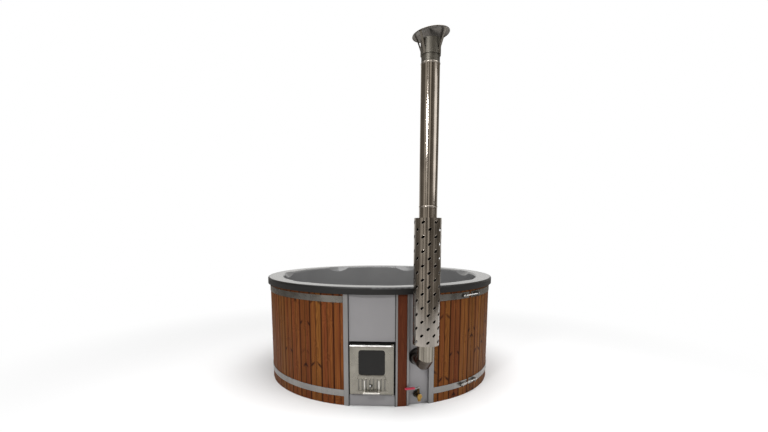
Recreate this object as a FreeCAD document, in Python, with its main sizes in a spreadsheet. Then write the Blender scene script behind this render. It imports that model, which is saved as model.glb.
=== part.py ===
import FreeCAD, Part
import math
import os

import Sketcher
from FreeCAD import Placement, Rotation, Vector

# Wood-burning hot tub: a moulded tub in a hooped timber skirt, a stove under its bench, an outside flue.
# Frame: origin on the ground at the tub's axis, +Z up, stove door facing -Y. Millimetres and degrees.
# A bearing is an angle about the tub's axis, zero at the stove door and growing towards +X.

SIZES = {
    # Moulded tub
    "rim_radius": 1000,
    "tub_height": 886,
    "rim_depth": 36,
    "skirt_depth": 53,
    "skirt_wall": 10,
    "rim_round": 14,
    "rim_width": 132,
    "mouth_round": 18,
    "seat_back_lean": 30,
    "bench_height": 500,
    "bench_round": 25,
    "bench_depth": 338,
    "floor_height": 130,
    "floor_round": 30,
    "shell_wall": 12,
    "scoop_count": 7,
    "scoop_radius": 300,
    "scoop_setback": 228,
    "scoop_lift": 154,
    "scoop_bearing": 163.3,
    # Timber skirt
    "rim_overhang": 21,
    "stave_wall": 20,
    "stave_bevel": 3,
    "stave_gap": 0.4,
    "stave_count": 53,
    "closing_arc": 4.5,
    "left_lap": 16,
    "skirt_headroom": 2,
    "slat_width": 86,
    # Hoops and their draw bolts
    "hoop_wall": 2,
    "hoop_width": 48,
    "upper_hoop_drop": 93,
    "lower_hoop_height": 95,
    "hoop_clearance": 0.3,
    "hoop_end_gap": 1,
    "clamp_bearing": 48.5,
    "clamp_gap": 24,
    "lug_spread": 170,
    "lug_wall": 5,
    "lug_width": 34,
    "lug_reach": 22,
    "draw_bolt_radius": 5,
    "draw_bolt_overhang": 22,
    "draw_nut_radius": 9,
    "draw_nut_height": 8,
    "thread_clearance": 0.05,
    # Inner frame and base
    "batten_wall": 28,
    "batten_width": 58,
    "lower_batten_height": 60,
    "upright_count": 8,
    "upright_wall": 29,
    "upright_width": 45,
    "upright_first": 60,
    "upright_last": 333,
    "fit_clearance": 0.5,
    "insulation_foot": 20,
    "base_height": 103,
    "beam_width": 45,
    "beam_inset": 236,
    "beam_front_gap": 44,
    "beam_end_gap": 5,
    "deck_wing_half": 150,
    # Bays in the front of the skirt
    "bay_recess": 21,
    "panel_wall": 2,
    "panel_gap": 0.5,
    "post_wall": 2,
    "post_lip": 7,
    "post_cover": 2,
    "door_bay_half": 168,
    "left_flange": 39,
    "door_flange": 18,
    "flue_bay_bearing": 20.45,
    "flue_bay_half": 80,
    "flue_flange": 13,
    "right_flange": 41,
    "upper_panel_gap": 20,
    "lower_panel_gap": 15,
    "panel_foot": 4,
    # Stove body
    "jacket_left": 190,
    "jacket_corner_gap": 15,
    "jacket_setback": 123,
    "jacket_gap": 12,
    "jacket_bottom": 112,
    "jacket_headroom": 18,
    "jacket_wall": 3,
    "firebox_half": 150,
    "firebox_depth": 270,
    "firebox_headroom": 26,
    "firebox_wall": 4,
    "smoke_duct_gap": 38,
    "smoke_duct_depth": 130,
    "smoke_duct_height": 136,
    "ledge_height": 90,
    "ledge_width": 12,
    "grate_wall": 12,
    "grate_slot": 12,
    "grate_bars": 7,
    "ash_tray_half": 125,
    "ash_tray_depth": 46,
    "ash_tray_wall": 2,
    "stove_leg_width": 40,
    "water_pipe_radius": 25,
    "water_pipe_wall": 2,
    "water_flange_radius": 45,
    "water_flange_wall": 6,
    "water_pipe_low": 215,
    "water_pipe_high": 415,
    "water_pipe_reach": 16,
    # Stove door
    "door_half": 159,
    "door_bottom": 101,
    "door_lap": 31,
    "door_stand": 32,
    "door_depth": 45,
    "door_wall": 2.5,
    "frame_plate_wall": 5,
    "frame_overhang": 8,
    "seal_depth": 9,
    "seal_width": 10,
    "seal_gap": 0.8,
    "hinge_inset": 6,
    "hinge_pin_radius": 4,
    "hinge_tab_wall": 4,
    "hinge_tab_gap": 1,
    "hinge_tab_width": 20,
    "hinge_head_wall": 3,
    "hinge_pin_grip": 7.5,
    "pin_clearance": 0.06,
    "window_width": 191,
    "window_top_inset": 36,
    "window_bottom": 246,
    "window_round": 20,
    "glass_wall": 4,
    "glass_lap": 12,
    "retainer_wall": 2,
    "retainer_rim": 6,
    "vent_count": 8,
    "vent_pitch": 27.2,
    "vent_width": 10,
    "vent_bottom": 132,
    "vent_height": 85,
    "slide_wall": 2.2,
    "slide_margin": 5,
    "slide_clearance": 0.4,
    "guide_wall": 3,
    "guide_lip": 4,
    "knob_offset": 10,
    "knob_height": 170,
    "knob_radius": 7,
    "knob_length": 12,
    "knob_stem_radius": 3,
    "handle_leg_spread": 104,
    "handle_leg_width": 9,
    "handle_leg_wall": 3,
    "handle_top": 205,
    "handle_bottom": 123,
    "handle_reach": 40,
    "handle_bar_radius": 7,
    "handle_bar_length": 120,
    # Flue
    "flue_radius": 60,
    "flue_wall": 1,
    "flue_clearance": 0.3,
    "flue_drop": 71,
    "flue_shift": 10,
    "flue_stub_inside": 112,
    "flue_stub_outside": 82,
    "flue_bore_overrun": 40,
    "collar_width": 5,
    "collar_wall": 6,
    "guard_gap": 28,
    "elbow_stand": 27,
    "elbow_cut": 38,
    "elbow_rise": 150,
    "lower_flue_length": 908,
    "upper_flue_length": 880,
    "neck_length": 54,
    "sleeve_length": 91,
    "sleeve_radius": 64,
    "spigot_length": 40,
    "cap_radius": 118,
    "cap_gap": 35,
    "cap_rise": 34,
    "cap_wall": 1.5,
    "cap_tilt": 8,
    "cap_leg_count": 4,
    "cap_leg_width": 16,
    "cap_leg_wall": 2,
    "cap_leg_foot": 20,
    "cap_leg_inset": 10,
    "cap_leg_bearing": 50,
    "guard_radius": 91.5,
    "guard_wall": 1,
    "guard_drop": 18,
    "guard_height": 858,
    "guard_columns": 13,
    "guard_seam_arc": 6.4,
    "guard_bearing": 5.8,
    "guard_rows": 9,
    "guard_slot_pitch": 94.3,
    "guard_stagger": 0.5,
    "guard_slot_width": 15,
    "guard_slot_length": 27,
    "guard_slot_slant": 45,
    "spacer_count": 3,
    "spacer_width": 14,
    "spacer_wall": 12,
    "spacer_inset": 90,
    # Drain and its ball valve
    "drain_shift": 12,
    "drain_inset": 200,
    "drain_height": 84,
    "drain_neck_radius": 24,
    "drain_flange_radius": 42,
    "drain_flange_wall": 4,
    "drain_sump_floor": 52,
    "drain_wall": 4,
    "drain_boss_radius": 18.5,
    "drain_boss_length": 45,
    "drain_pipe_radius": 16,
    "drain_pipe_wall": 3,
    "drain_socket": 14,
    "lock_nut_radius": 27,
    "lock_nut_wall": 9,
    "valve_radius": 19,
    "valve_length": 66,
    "valve_stand": 34,
    "valve_ball_radius": 14,
    "valve_ball_clearance": 0.3,
    "valve_bore_radius": 10,
    "valve_neck_radius": 10,
    "valve_neck_top": 139,
    "stem_radius": 5,
    "spout_radius": 15,
    "spout_bore_radius": 9,
    "hose_tail_radius": 12.5,
    "hose_tail_length": 16,
    "hose_tail_bottom": 48,
    "spout_setback": 13,
    "lever_wall": 4,
    "lever_width": 17,
    "lever_length": 104,
    "lever_nut_radius": 7.5,
    "lever_nut_height": 6,
}

doc = FreeCAD.newDocument("wood_burning_hot_tub")
sheet = doc.addObject("Spreadsheet::Sheet", "sizes")
for row, (alias, number) in enumerate(SIZES.items(), 1):
    sheet.set("A%d" % row, alias)
    sheet.set("B%d" % row, str(number))
    sheet.setAlias("B%d" % row, alias)
doc.recompute()


class Size:
    """A measure that carries its number and the formula that ties it to the sheet."""

    def __init__(self, formula, number):
        self.formula = formula
        self.number = number

    def __add__(self, other):
        other = measure(other)
        return Size("(%s + %s)" % (self.formula, other.formula), self.number + other.number)

    def __sub__(self, other):
        other = measure(other)
        return Size("(%s - %s)" % (self.formula, other.formula), self.number - other.number)

    def __mul__(self, other):
        other = measure(other)
        return Size("(%s * %s)" % (self.formula, other.formula), self.number * other.number)

    def __truediv__(self, other):
        other = measure(other)
        return Size("(%s / %s)" % (self.formula, other.formula), self.number / other.number)

    def __radd__(self, other):
        return measure(other) + self

    def __rsub__(self, other):
        return measure(other) - self

    def __rmul__(self, other):
        return measure(other) * self

    def __neg__(self):
        return measure(0) - self


def measure(value):
    return value if isinstance(value, Size) else Size(repr(value), value)


def sine(angle):
    return Size("sin(%s)" % angle.formula, math.sin(math.radians(angle.number)))


def cosine(angle):
    return Size("cos(%s)" % angle.formula, math.cos(math.radians(angle.number)))


def tangent(angle):
    return Size("tan(%s)" % angle.formula, math.tan(math.radians(angle.number)))


def arc_tangent(ratio):
    # The sheet gives this one as an angle, so it is turned back to a plain number of degrees.
    return Size("(atan(%s) / 1 deg)" % ratio.formula, math.degrees(math.atan(ratio.number)))


def root(area):
    return Size("sqrt(%s)" % area.formula, math.sqrt(area.number))


class Sheet:
    """The driving sizes, each by its own name."""


s = Sheet()
for alias, number in SIZES.items():
    setattr(s, alias, Size("sizes." + alias, number))

nodes = []
SAME_PLACE = 0.01


def bind(item, **sizes):
    for name, size in sizes.items():
        item.setExpression(name, measure(size).formula)
    return item


def place(item, x=0, y=0, z=0, turn=0):
    """Stand an item at a point, turned about the vertical."""
    spot = Vector(measure(x).number, measure(y).number, measure(z).number)
    item.Placement = Placement(spot, Rotation(Vector(0, 0, 1), measure(turn).number))
    for axis, size in (("x", x), ("y", y), ("z", z)):
        if isinstance(size, Size):
            item.setExpression("Placement.Base." + axis, size.formula)
    if isinstance(turn, Size):
        item.setExpression("Placement.Rotation.Angle", turn.formula)
    return item


def node(label, item):
    """Keep an item as a finished sub-part under its own name."""
    item.Label = label
    nodes.append(item)
    return item


def new_body(name, **spot):
    return place(doc.addObject("PartDesign::Body", name), **spot)


def origin_feature(body, role):
    return next(feature for feature in body.Origin.OriginFeatures if feature.Role == role)


def new_sketch(body, plane, offset=0):
    sketch = body.newObject("Sketcher::SketchObject", body.Name + "_sketch")
    sketch.AttachmentSupport = (origin_feature(body, plane), [""])
    sketch.MapMode = "FlatFace"
    offset = measure(offset)
    sketch.AttachmentOffset = Placement(Vector(0, 0, offset.number), Rotation())
    sketch.setExpression("AttachmentOffset.Base.z", offset.formula)
    return sketch


def hold(sketch, kind, *where, size):
    """Add one dimension to a sketch and tie it to the sheet."""
    size = measure(size)
    index = sketch.addConstraint(Sketcher.Constraint(kind, *where, size.number))
    sketch.setExpression("Constraints[%d]" % index, size.formula)


def hold_point(sketch, geometry, end, x, y):
    """Fix a point of a sketch, on the sketch's own axes where it lies on them."""
    for kind, axis, size in (("DistanceX", -2, measure(x)), ("DistanceY", -1, measure(y))):
        if size.formula == "0":
            sketch.addConstraint(Sketcher.Constraint("PointOnObject", geometry, end, axis))
        else:
            hold(sketch, kind, -1, 1, geometry, end, size=size)


def polygon(sketch, corners, closed=True):
    """Straight runs through corners whose places come from the sheet."""
    points = [Vector(measure(x).number, measure(y).number, 0) for x, y in corners]
    ends = points[1:] + points[:1] if closed else points[1:]
    lines = [sketch.addGeometry(Part.LineSegment(a, b), False) for a, b in zip(points, ends)]
    for first, second in zip(lines, lines[1:]):
        sketch.addConstraint(Sketcher.Constraint("Coincident", first, 2, second, 1))
    if closed:
        sketch.addConstraint(Sketcher.Constraint("Coincident", lines[-1], 2, lines[0], 1))
    for line, (x, y) in zip(lines, corners):
        hold_point(sketch, line, 1, x, y)
    if not closed:
        hold_point(sketch, lines[-1], 2, *corners[-1])


def rectangle(sketch, left, bottom, right, top):
    polygon(sketch, [(left, bottom), (right, bottom), (right, top), (left, top)])


def circle(sketch, x, y, radius):
    centre = Vector(measure(x).number, measure(y).number, 0)
    ring = sketch.addGeometry(Part.Circle(centre, Vector(0, 0, 1), measure(radius).number), False)
    hold_point(sketch, ring, 3, x, y)
    hold(sketch, "Radius", ring, size=radius)


def pad(body, sketch, length):
    feature = body.newObject("PartDesign::Pad", body.Name + "_pad")
    feature.Profile = sketch
    return bind(feature, Length=length)


def pocket(body, sketch, length, reverse=False):
    """Cut into a body, against the sketch's normal, or along it when reversed."""
    doc.recompute()
    before = body.Shape.Volume
    feature = body.newObject("PartDesign::Pocket", body.Name + "_pocket")
    feature.Profile = sketch
    feature.Reversed = reverse
    bind(feature, Length=length)
    doc.recompute()
    if body.Shape.Volume >= before:
        raise RuntimeError("a pocket in %s cuts nothing" % body.Name)
    return feature


def polar(body, feature, count, angle):
    pattern = body.newObject("PartDesign::PolarPattern", body.Name + "_ring")
    pattern.Originals = [feature]
    pattern.Axis = (origin_feature(body, "Z_Axis"), [""])
    bind(pattern, Angle=angle, Occurrences=count)
    body.Tip = pattern
    return pattern


def linear(body, feature, count, length, axis="X_Axis"):
    pattern = body.newObject("PartDesign::LinearPattern", body.Name + "_row")
    pattern.Originals = [feature]
    pattern.Direction = (origin_feature(body, axis), [""])
    bind(pattern, Length=length, Occurrences=count)
    body.Tip = pattern
    return pattern


def round_rings(body, rings, radius):
    """Round the circular edges of a turned body, each named by its radius and height."""
    doc.recompute()
    names = []
    for index, edge in enumerate(body.Shape.Edges, 1):
        if not isinstance(edge.Curve, Part.Circle):
            continue
        for ring_radius, height in rings:
            same_size = abs(edge.Curve.Radius - measure(ring_radius).number) < SAME_PLACE
            if same_size and abs(edge.Curve.Center.z - measure(height).number) < SAME_PLACE:
                names.append("Edge%d" % index)
    base = body.Tip
    feature = body.newObject("PartDesign::Fillet", body.Name + "_round")
    feature.Base = (base, names)
    bind(feature, Radius=radius)


def round_uprights(body, spots, plane_axis, radius):
    """Round the straight edges of a plate that run through its wall at the given corners."""
    doc.recompute()
    names = []
    for index, edge in enumerate(body.Shape.Edges, 1):
        if not isinstance(edge.Curve, Part.Line) or not edge.tangentAt(0).isParallel(plane_axis, SAME_PLACE):
            continue
        middle = edge.CenterOfMass
        for x, z in spots:
            if abs(middle.x - x.number) < SAME_PLACE and abs(middle.z - z.number) < SAME_PLACE:
                names.append("Edge%d" % index)
    base = body.Tip
    feature = body.newObject("PartDesign::Fillet", body.Name + "_corners")
    feature.Base = (base, names)
    bind(feature, Radius=radius)


def turned(name, corners, angle=360, **spot):
    """A piece turned about the vertical from its half section of radii and heights."""
    body = new_body(name, **spot)
    sketch = new_sketch(body, "XZ_Plane")
    polygon(sketch, corners)
    feature = body.newObject("PartDesign::Revolution", name + "_turn")
    feature.Profile = sketch
    feature.ReferenceAxis = (sketch, ["V_Axis"])
    bind(feature, Angle=angle)
    return body


def extruded(name, plane, offset, length, corners, **spot):
    """A straight piece of constant outline, standing off a plane of its own frame."""
    body = new_body(name, **spot)
    sketch = new_sketch(body, plane, offset)
    polygon(sketch, corners)
    pad(body, sketch, length)
    return body


def tube(name, plane, offset, length, across, up, radius, bore=None, **spot):
    """A round bar, or a tube when it has a bore, standing off a plane of its own frame."""
    body = new_body(name, **spot)
    sketch = new_sketch(body, plane, offset)
    circle(sketch, across, up, radius)
    if bore is not None:
        circle(sketch, across, up, bore)
    pad(body, sketch, length)
    return body


def add_box(name, left, front, bottom, right, back, top):
    """A block between two corners; front and back are distances towards -Y."""
    box = doc.addObject("Part::Box", name)
    bind(box, Length=right - left, Width=front - back, Height=top - bottom)
    return place(box, x=left, y=-front, z=bottom)


def fused(name, items):
    item = doc.addObject("Part::MultiFuse", name)
    item.Shapes = items
    return item


def cut(name, base, tool):
    item = doc.addObject("Part::Cut", name)
    item.Base = base
    item.Tool = tool
    return item


def group(name, items):
    item = doc.addObject("Part::Compound", name)
    item.Links = items
    return item


def in_flue_bay(shift, distance):
    """The place of a point given by its shift along the flue bay and its distance from the tub's axis."""
    x = shift * cosine(s.flue_bay_bearing) + distance * sine(s.flue_bay_bearing)
    y = shift * sine(s.flue_bay_bearing) - distance * cosine(s.flue_bay_bearing)
    return x, y


# Moulded tub: rim with an outer skirt, sloping seat backs, a bench ring and a footwell.
mouth_radius = s.rim_radius - s.rim_width
seat_back_radius = mouth_radius - s.seat_back_lean
footwell_radius = seat_back_radius - s.bench_depth
rim_underside = s.tub_height - s.rim_depth
floor_underside = s.floor_height - s.shell_wall
shell = turned("shell", [
    (0, floor_underside),
    (footwell_radius + s.shell_wall, floor_underside),
    (footwell_radius + s.shell_wall, s.bench_height - s.shell_wall),
    (seat_back_radius + s.shell_wall, s.bench_height - s.shell_wall),
    (mouth_radius + s.shell_wall, rim_underside),
    (s.rim_radius - s.skirt_wall, rim_underside),
    (s.rim_radius - s.skirt_wall, s.tub_height - s.skirt_depth),
    (s.rim_radius, s.tub_height - s.skirt_depth),
    (s.rim_radius, s.tub_height),
    (mouth_radius, s.tub_height),
    (seat_back_radius, s.bench_height),
    (footwell_radius, s.bench_height),
    (footwell_radius, s.floor_height),
    (0, s.floor_height),
])
round_rings(shell, [(s.rim_radius, s.tub_height)], s.rim_round)
round_rings(shell, [(mouth_radius, s.tub_height)], s.mouth_round)
round_rings(shell, [(footwell_radius, s.bench_height), (seat_back_radius, s.bench_height)], s.bench_round)
round_rings(shell, [(footwell_radius, s.floor_height)], s.floor_round)

# Seven neck rests scooped out of the inner edge of the rim.
scoop_offset = mouth_radius - s.scoop_setback
scoop = shell.newObject("PartDesign::SubtractiveSphere", "neck_rest")
scoop.AttachmentSupport = (origin_feature(shell, "XY_Plane"), [""])
scoop.MapMode = "FlatFace"
bind(scoop, Radius=s.scoop_radius)
scoop.setExpression("AttachmentOffset.Base.x", (scoop_offset * sine(s.scoop_bearing)).formula)
scoop.setExpression("AttachmentOffset.Base.y", (-(scoop_offset * cosine(s.scoop_bearing))).formula)
scoop.setExpression("AttachmentOffset.Base.z", (s.tub_height + s.scoop_lift).formula)
polar(shell, scoop, s.scoop_count, 360)
doc.recompute()

# Holes for the drain in the floor and for the two water pipes in the footwell's front.
drain_seat = footwell_radius - s.drain_inset
drain_x, drain_y = in_flue_bay(-s.drain_shift, drain_seat)
drain_hole = new_sketch(shell, "XY_Plane", floor_underside)
circle(drain_hole, drain_x, drain_y, s.drain_neck_radius + s.fit_clearance)
pocket(shell, drain_hole, s.shell_wall * 2, reverse=True)
water_holes = new_sketch(shell, "XZ_Plane", footwell_radius - s.water_flange_wall)
for height in (s.water_pipe_low, s.water_pipe_high):
    circle(water_holes, 0, height, s.water_pipe_radius + s.fit_clearance)
pocket(shell, water_holes, s.shell_wall * 3, reverse=True)
node("inner_shell", shell)

# Timber skirt: flat staves with bevelled edges, in six groups round the tub.
cladding_face = s.rim_radius - s.rim_overhang
stave_top = rim_underside - s.skirt_headroom
stave_back = cladding_face - s.stave_wall
post_reach = s.flue_bay_half + s.post_wall
closing_start = s.flue_bay_bearing + arc_tangent((post_reach + s.fit_clearance) / stave_back)
skirt_start = closing_start + s.closing_arc
skirt_end = 360 - arc_tangent((s.door_bay_half + s.left_lap) / cladding_face)
stave_pitch = (skirt_end - skirt_start) / s.stave_count


def stave_outline(arc):
    """The section of one board that fills an arc of the skirt, seen from above."""
    outer = cladding_face * tangent(arc / 2) - s.stave_gap / 2
    shoulder = (cladding_face - s.stave_bevel) * tangent(arc / 2) - s.stave_gap / 2
    inner = stave_back * tangent(arc / 2) - s.stave_gap / 2
    return [
        (-inner, -stave_back),
        (-shoulder, s.stave_bevel - cladding_face),
        (s.stave_bevel - outer, -cladding_face),
        (outer - s.stave_bevel, -cladding_face),
        (shoulder, s.stave_bevel - cladding_face),
        (inner, -stave_back),
    ]


STAVE_GROUPS = ("right_front", "right", "right_back", "left_back", "left", "left_front")
stave_total = round(s.stave_count.number)
for position, side in enumerate(STAVE_GROUPS):
    first = position * stave_total // len(STAVE_GROUPS)
    boards = (position + 1) * stave_total // len(STAVE_GROUPS) - first
    bearing = skirt_start + stave_pitch * (first + 0.5)
    staves = new_body("staves_" + side, turn=bearing)
    outline = new_sketch(staves, "XY_Plane")
    polygon(outline, stave_outline(stave_pitch))
    board = pad(staves, outline, stave_top)
    polar(staves, board, boards, stave_pitch * (boards - 1))
    node("staves_" + side, staves)

closing_bearing = closing_start + s.closing_arc / 2
closing = extruded("closing", "XY_Plane", 0, stave_top, stave_outline(s.closing_arc), turn=closing_bearing)
node("closing_stave", closing)

# Slat between the two bays, its edges under the posts' flanges.
slat_half = s.slat_width / 2
door_post_edge = arc_tangent((s.door_bay_half + s.post_wall) / cladding_face)
flue_post_edge = s.flue_bay_bearing - arc_tangent(post_reach / cladding_face)
slat_bearing = (door_post_edge + flue_post_edge) / 2
slat = extruded("slat", "XY_Plane", 0, stave_top, [
    (-slat_half, -stave_back),
    (-slat_half, -cladding_face),
    (slat_half, -cladding_face),
    (slat_half, -stave_back),
], turn=slat_bearing)
node("slat_board", slat)

# Hoops: two flat bands in two lengths each, drawn together by a bolt through a pair of lugs.
cladding_corner = cladding_face / cosine(stave_pitch / 2)
hoop_inner = cladding_corner + s.hoop_clearance
hoop_outer = hoop_inner + s.hoop_wall
upper_hoop_height = s.tub_height - s.upper_hoop_drop
right_post_tip = s.flue_bay_half + s.right_flange + s.hoop_end_gap
hoop_start = s.flue_bay_bearing + arc_tangent(right_post_tip / cladding_face)
hoop_end = 360 - arc_tangent((s.door_bay_half + s.left_flange + s.hoop_end_gap) / stave_back)
clamp_half = arc_tangent(s.clamp_gap / 2 / cladding_face)
for label, height in (("upper_hoop", upper_hoop_height), ("lower_hoop", s.lower_hoop_height)):
    section = [
        (hoop_inner, height - s.hoop_width / 2),
        (hoop_outer, height - s.hoop_width / 2),
        (hoop_outer, height + s.hoop_width / 2),
        (hoop_inner, height + s.hoop_width / 2),
    ]
    short_arc = s.clamp_bearing - clamp_half - hoop_start
    long_arc = hoop_end - s.clamp_bearing - clamp_half
    short = turned(label + "_short", section, short_arc, turn=hoop_start - 90)
    long = turned(label + "_long", section, long_arc, turn=s.clamp_bearing + clamp_half - 90)
    node(label, group(label, [short, long]))

# Lugs stand square on the bands, and each pair is crossed by one draw bolt with a nut at both ends.
lug_angle = arc_tangent(s.lug_spread / 2 / hoop_outer)
lug_chord = hoop_outer * cosine(lug_angle)
bolt_distance = hoop_outer + s.lug_reach / 2 + s.draw_bolt_radius
lug_base = lug_chord + s.fit_clearance * 2
lugs = []
fasteners = []
for height in (upper_hoop_height, s.lower_hoop_height):
    for side in (-1, 1):
        lug = new_body("lug", turn=s.clamp_bearing)
        outline = new_sketch(lug, "YZ_Plane", side * s.lug_spread / 2 - s.lug_wall / 2)
        rectangle(outline, -hoop_outer - s.lug_reach, height - s.lug_width / 2, -lug_base,
                  height + s.lug_width / 2)
        circle(outline, -bolt_distance, height, s.draw_bolt_radius + s.thread_clearance)
        pad(lug, outline, s.lug_wall)
        lugs.append(lug)
        nut_start = side * (s.lug_spread / 2 + s.lug_wall / 2 + s.draw_nut_height / 2) - s.draw_nut_height / 2
        nut = tube("draw_nut", "YZ_Plane", nut_start, s.draw_nut_height, -bolt_distance, height,
                   s.draw_nut_radius, s.draw_bolt_radius + s.thread_clearance, turn=s.clamp_bearing)
        fasteners.append(nut)
    bolt_half = s.lug_spread / 2 + s.draw_bolt_overhang
    bolt = tube("draw_bolt", "YZ_Plane", -bolt_half, bolt_half * 2, -bolt_distance, height,
                s.draw_bolt_radius, turn=s.clamp_bearing)
    fasteners.append(bolt)
node("hoop_lugs", group("lugs", lugs))
node("draw_bolts", group("draw_fasteners", fasteners))

# Inner frame: ring battens behind the staves, uprights inside them, and foam round the seat backs.
batten_outer = stave_back - s.hoop_clearance
batten_inner = batten_outer - s.batten_wall
battens = []
for bottom in (s.lower_batten_height - s.batten_width / 2, rim_underside - s.batten_width):
    battens.append(turned("batten", [
        (batten_inner, bottom),
        (batten_outer, bottom),
        (batten_outer, bottom + s.batten_width),
        (batten_inner, bottom + s.batten_width),
    ], skirt_end - skirt_start, turn=skirt_start - 90))
node("battens", group("batten_rings", battens))

upright_face = root(batten_inner * batten_inner - s.upright_width * s.upright_width / 4) - s.hoop_clearance
uprights = new_body("upright_row", turn=s.upright_first)
outline = new_sketch(uprights, "XY_Plane")
rectangle(outline, -s.upright_width / 2, -upright_face, s.upright_width / 2, s.upright_wall - upright_face)
upright = pad(uprights, outline, rim_underside)
polar(uprights, upright, s.upright_count, s.upright_last - s.upright_first)
node("uprights", uprights)

wall_lean = (mouth_radius - seat_back_radius) / (rim_underside - s.bench_height + s.shell_wall)
foam_bottom = s.bench_height + s.insulation_foot
foam_inner = seat_back_radius + s.shell_wall + s.fit_clearance
foam_outer = upright_face - s.upright_wall - s.fit_clearance
node("wall_insulation", turned("insulation", [
    (foam_inner + wall_lean * (foam_bottom - s.bench_height + s.shell_wall), foam_bottom),
    (foam_outer, foam_bottom),
    (foam_outer, rim_underside),
    (foam_inner + wall_lean * (rim_underside - s.bench_height + s.shell_wall), rim_underside),
]))

# Base: bearers on the ground, and a round deck under the footwell with a wing out to each end bearer.
BEAM_STEPS = (-2, -1, 0, 1, 2)
beams = []
jacket_back = footwell_radius + s.shell_wall + s.jacket_gap
beam_front = jacket_back - s.beam_front_gap
beam_reach = upright_face - s.upright_wall - s.beam_end_gap
beam_spacing = (beam_reach - s.beam_inset) / BEAM_STEPS[-1]
for step in BEAM_STEPS:
    middle = beam_spacing * step
    edge = beam_spacing * abs(step) + s.beam_width / 2
    back = root(beam_reach * beam_reach - edge * edge)
    beams.append(add_box("beam", middle - s.beam_width / 2, beam_front, measure(0),
                         middle + s.beam_width / 2, -back, s.base_height))
node("base_beams", group("beams", beams))

deck_radius = footwell_radius + s.shell_wall
deck = new_body("deck")
outline = new_sketch(deck, "XY_Plane", s.base_height)
circle(outline, 0, 0, deck_radius)
circle(outline, drain_x, drain_y, s.drain_neck_radius + s.fit_clearance)
pad(deck, outline, floor_underside - s.base_height)
wing_tip = beam_spacing * BEAM_STEPS[-1] + s.beam_width / 2
wing_root = root(deck_radius * deck_radius - s.deck_wing_half * s.deck_wing_half) - s.beam_width
outline = new_sketch(deck, "XY_Plane", s.base_height)
rectangle(outline, -wing_tip, -s.deck_wing_half, -wing_root, s.deck_wing_half)
rectangle(outline, wing_root, -s.deck_wing_half, wing_tip, s.deck_wing_half)
pad(deck, outline, floor_underside - s.base_height)
node("base_deck", deck)

# Posts: folded strips that cover the cut ends of the boards and carry the panels on an inner lip.
bay_face = cladding_face - s.bay_recess
flange_inner = cladding_corner + s.hoop_clearance
flange_outer = flange_inner + s.post_cover
panel_back = bay_face - s.panel_wall


def post(name, side, bay_half, flange, **spot):
    """One folded strip at the left (-1) or right (+1) of a bay, from the ground to the rim."""
    tip = bay_half + flange
    fold = bay_half + s.post_wall
    outline = [
        (tip, root(flange_outer * flange_outer - tip * tip)),
        (bay_half, root(flange_outer * flange_outer - bay_half * bay_half)),
        (bay_half, panel_back),
        (bay_half - s.post_lip, panel_back),
        (bay_half - s.post_lip, panel_back - s.post_wall),
        (fold, panel_back - s.post_wall),
        (fold, root(flange_inner * flange_inner - fold * fold)),
        (tip, root(flange_inner * flange_inner - tip * tip)),
    ]
    corners = [(side * x, -distance) for x, distance in outline]
    return extruded(name, "XY_Plane", 0, rim_underside, corners, **spot)


node("left_post", post("left_strip", -1, s.door_bay_half, s.left_flange))
node("door_post", post("door_strip", 1, s.door_bay_half, s.door_flange))
node("flue_post", post("flue_strip", -1, s.flue_bay_half, s.flue_flange, turn=s.flue_bay_bearing))
node("right_post", post("right_strip", 1, s.flue_bay_half, s.right_flange, turn=s.flue_bay_bearing))

# Heights of the stove under the bench, its door and its flue, which the panels make room for.
jacket_top = s.bench_height - s.shell_wall - s.jacket_headroom
firebox_bottom = s.jacket_bottom + s.jacket_wall + s.firebox_wall
firebox_top = jacket_top - s.jacket_wall - s.firebox_headroom
throat_bottom = firebox_bottom + s.firebox_wall
throat_top = firebox_top - s.firebox_wall
door_top = throat_top + s.door_lap
door_height = door_top - s.door_bottom
flue_height = firebox_top - s.flue_drop

# Panels: flat sheets above and below the stove door, and a full one behind the flue.
upper_panel_bottom = door_top + s.upper_panel_gap
lower_panel_top = s.door_bottom - s.lower_panel_gap
door_panel_half = s.door_bay_half - s.panel_gap
for label, bottom, top in (
    ("upper_panel", upper_panel_bottom, rim_underside),
    ("lower_panel", s.panel_foot, lower_panel_top),
):
    panel = new_body(label + "_sheet")
    outline = new_sketch(panel, "XZ_Plane", panel_back)
    rectangle(outline, -door_panel_half, bottom, door_panel_half, top)
    pad(panel, outline, s.panel_wall)
    node(label, panel)

flue_panel_half = s.flue_bay_half - s.panel_gap
stub_radius = s.flue_radius - s.flue_wall - s.flue_clearance
panel = new_body("flue_panel_sheet", turn=s.flue_bay_bearing)
outline = new_sketch(panel, "XZ_Plane", panel_back)
rectangle(outline, -flue_panel_half, s.panel_foot, flue_panel_half, rim_underside)
circle(outline, -s.flue_shift, flue_height, stub_radius + s.fit_clearance)
circle(outline, -s.drain_shift, s.drain_height, s.drain_pipe_radius + s.fit_clearance)
pad(panel, outline, s.panel_wall)
node("flue_panel", panel)

# Stove body: a water jacket under the bench round a firebox whose smoke duct leads to the flue.
jacket_front = bay_face - s.jacket_setback
corner_reach = stave_back - s.jacket_corner_gap
jacket_right = root(corner_reach * corner_reach - jacket_front * jacket_front)
smoke_duct_reach = jacket_right - s.smoke_duct_gap
flue_stub_back = bay_face - s.flue_stub_inside
flue_stub_front = bay_face + s.flue_stub_outside
firebox_front = jacket_front - s.jacket_wall
firebox_back = firebox_front - s.firebox_depth
throat_half = s.firebox_half - s.firebox_wall * 2

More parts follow.
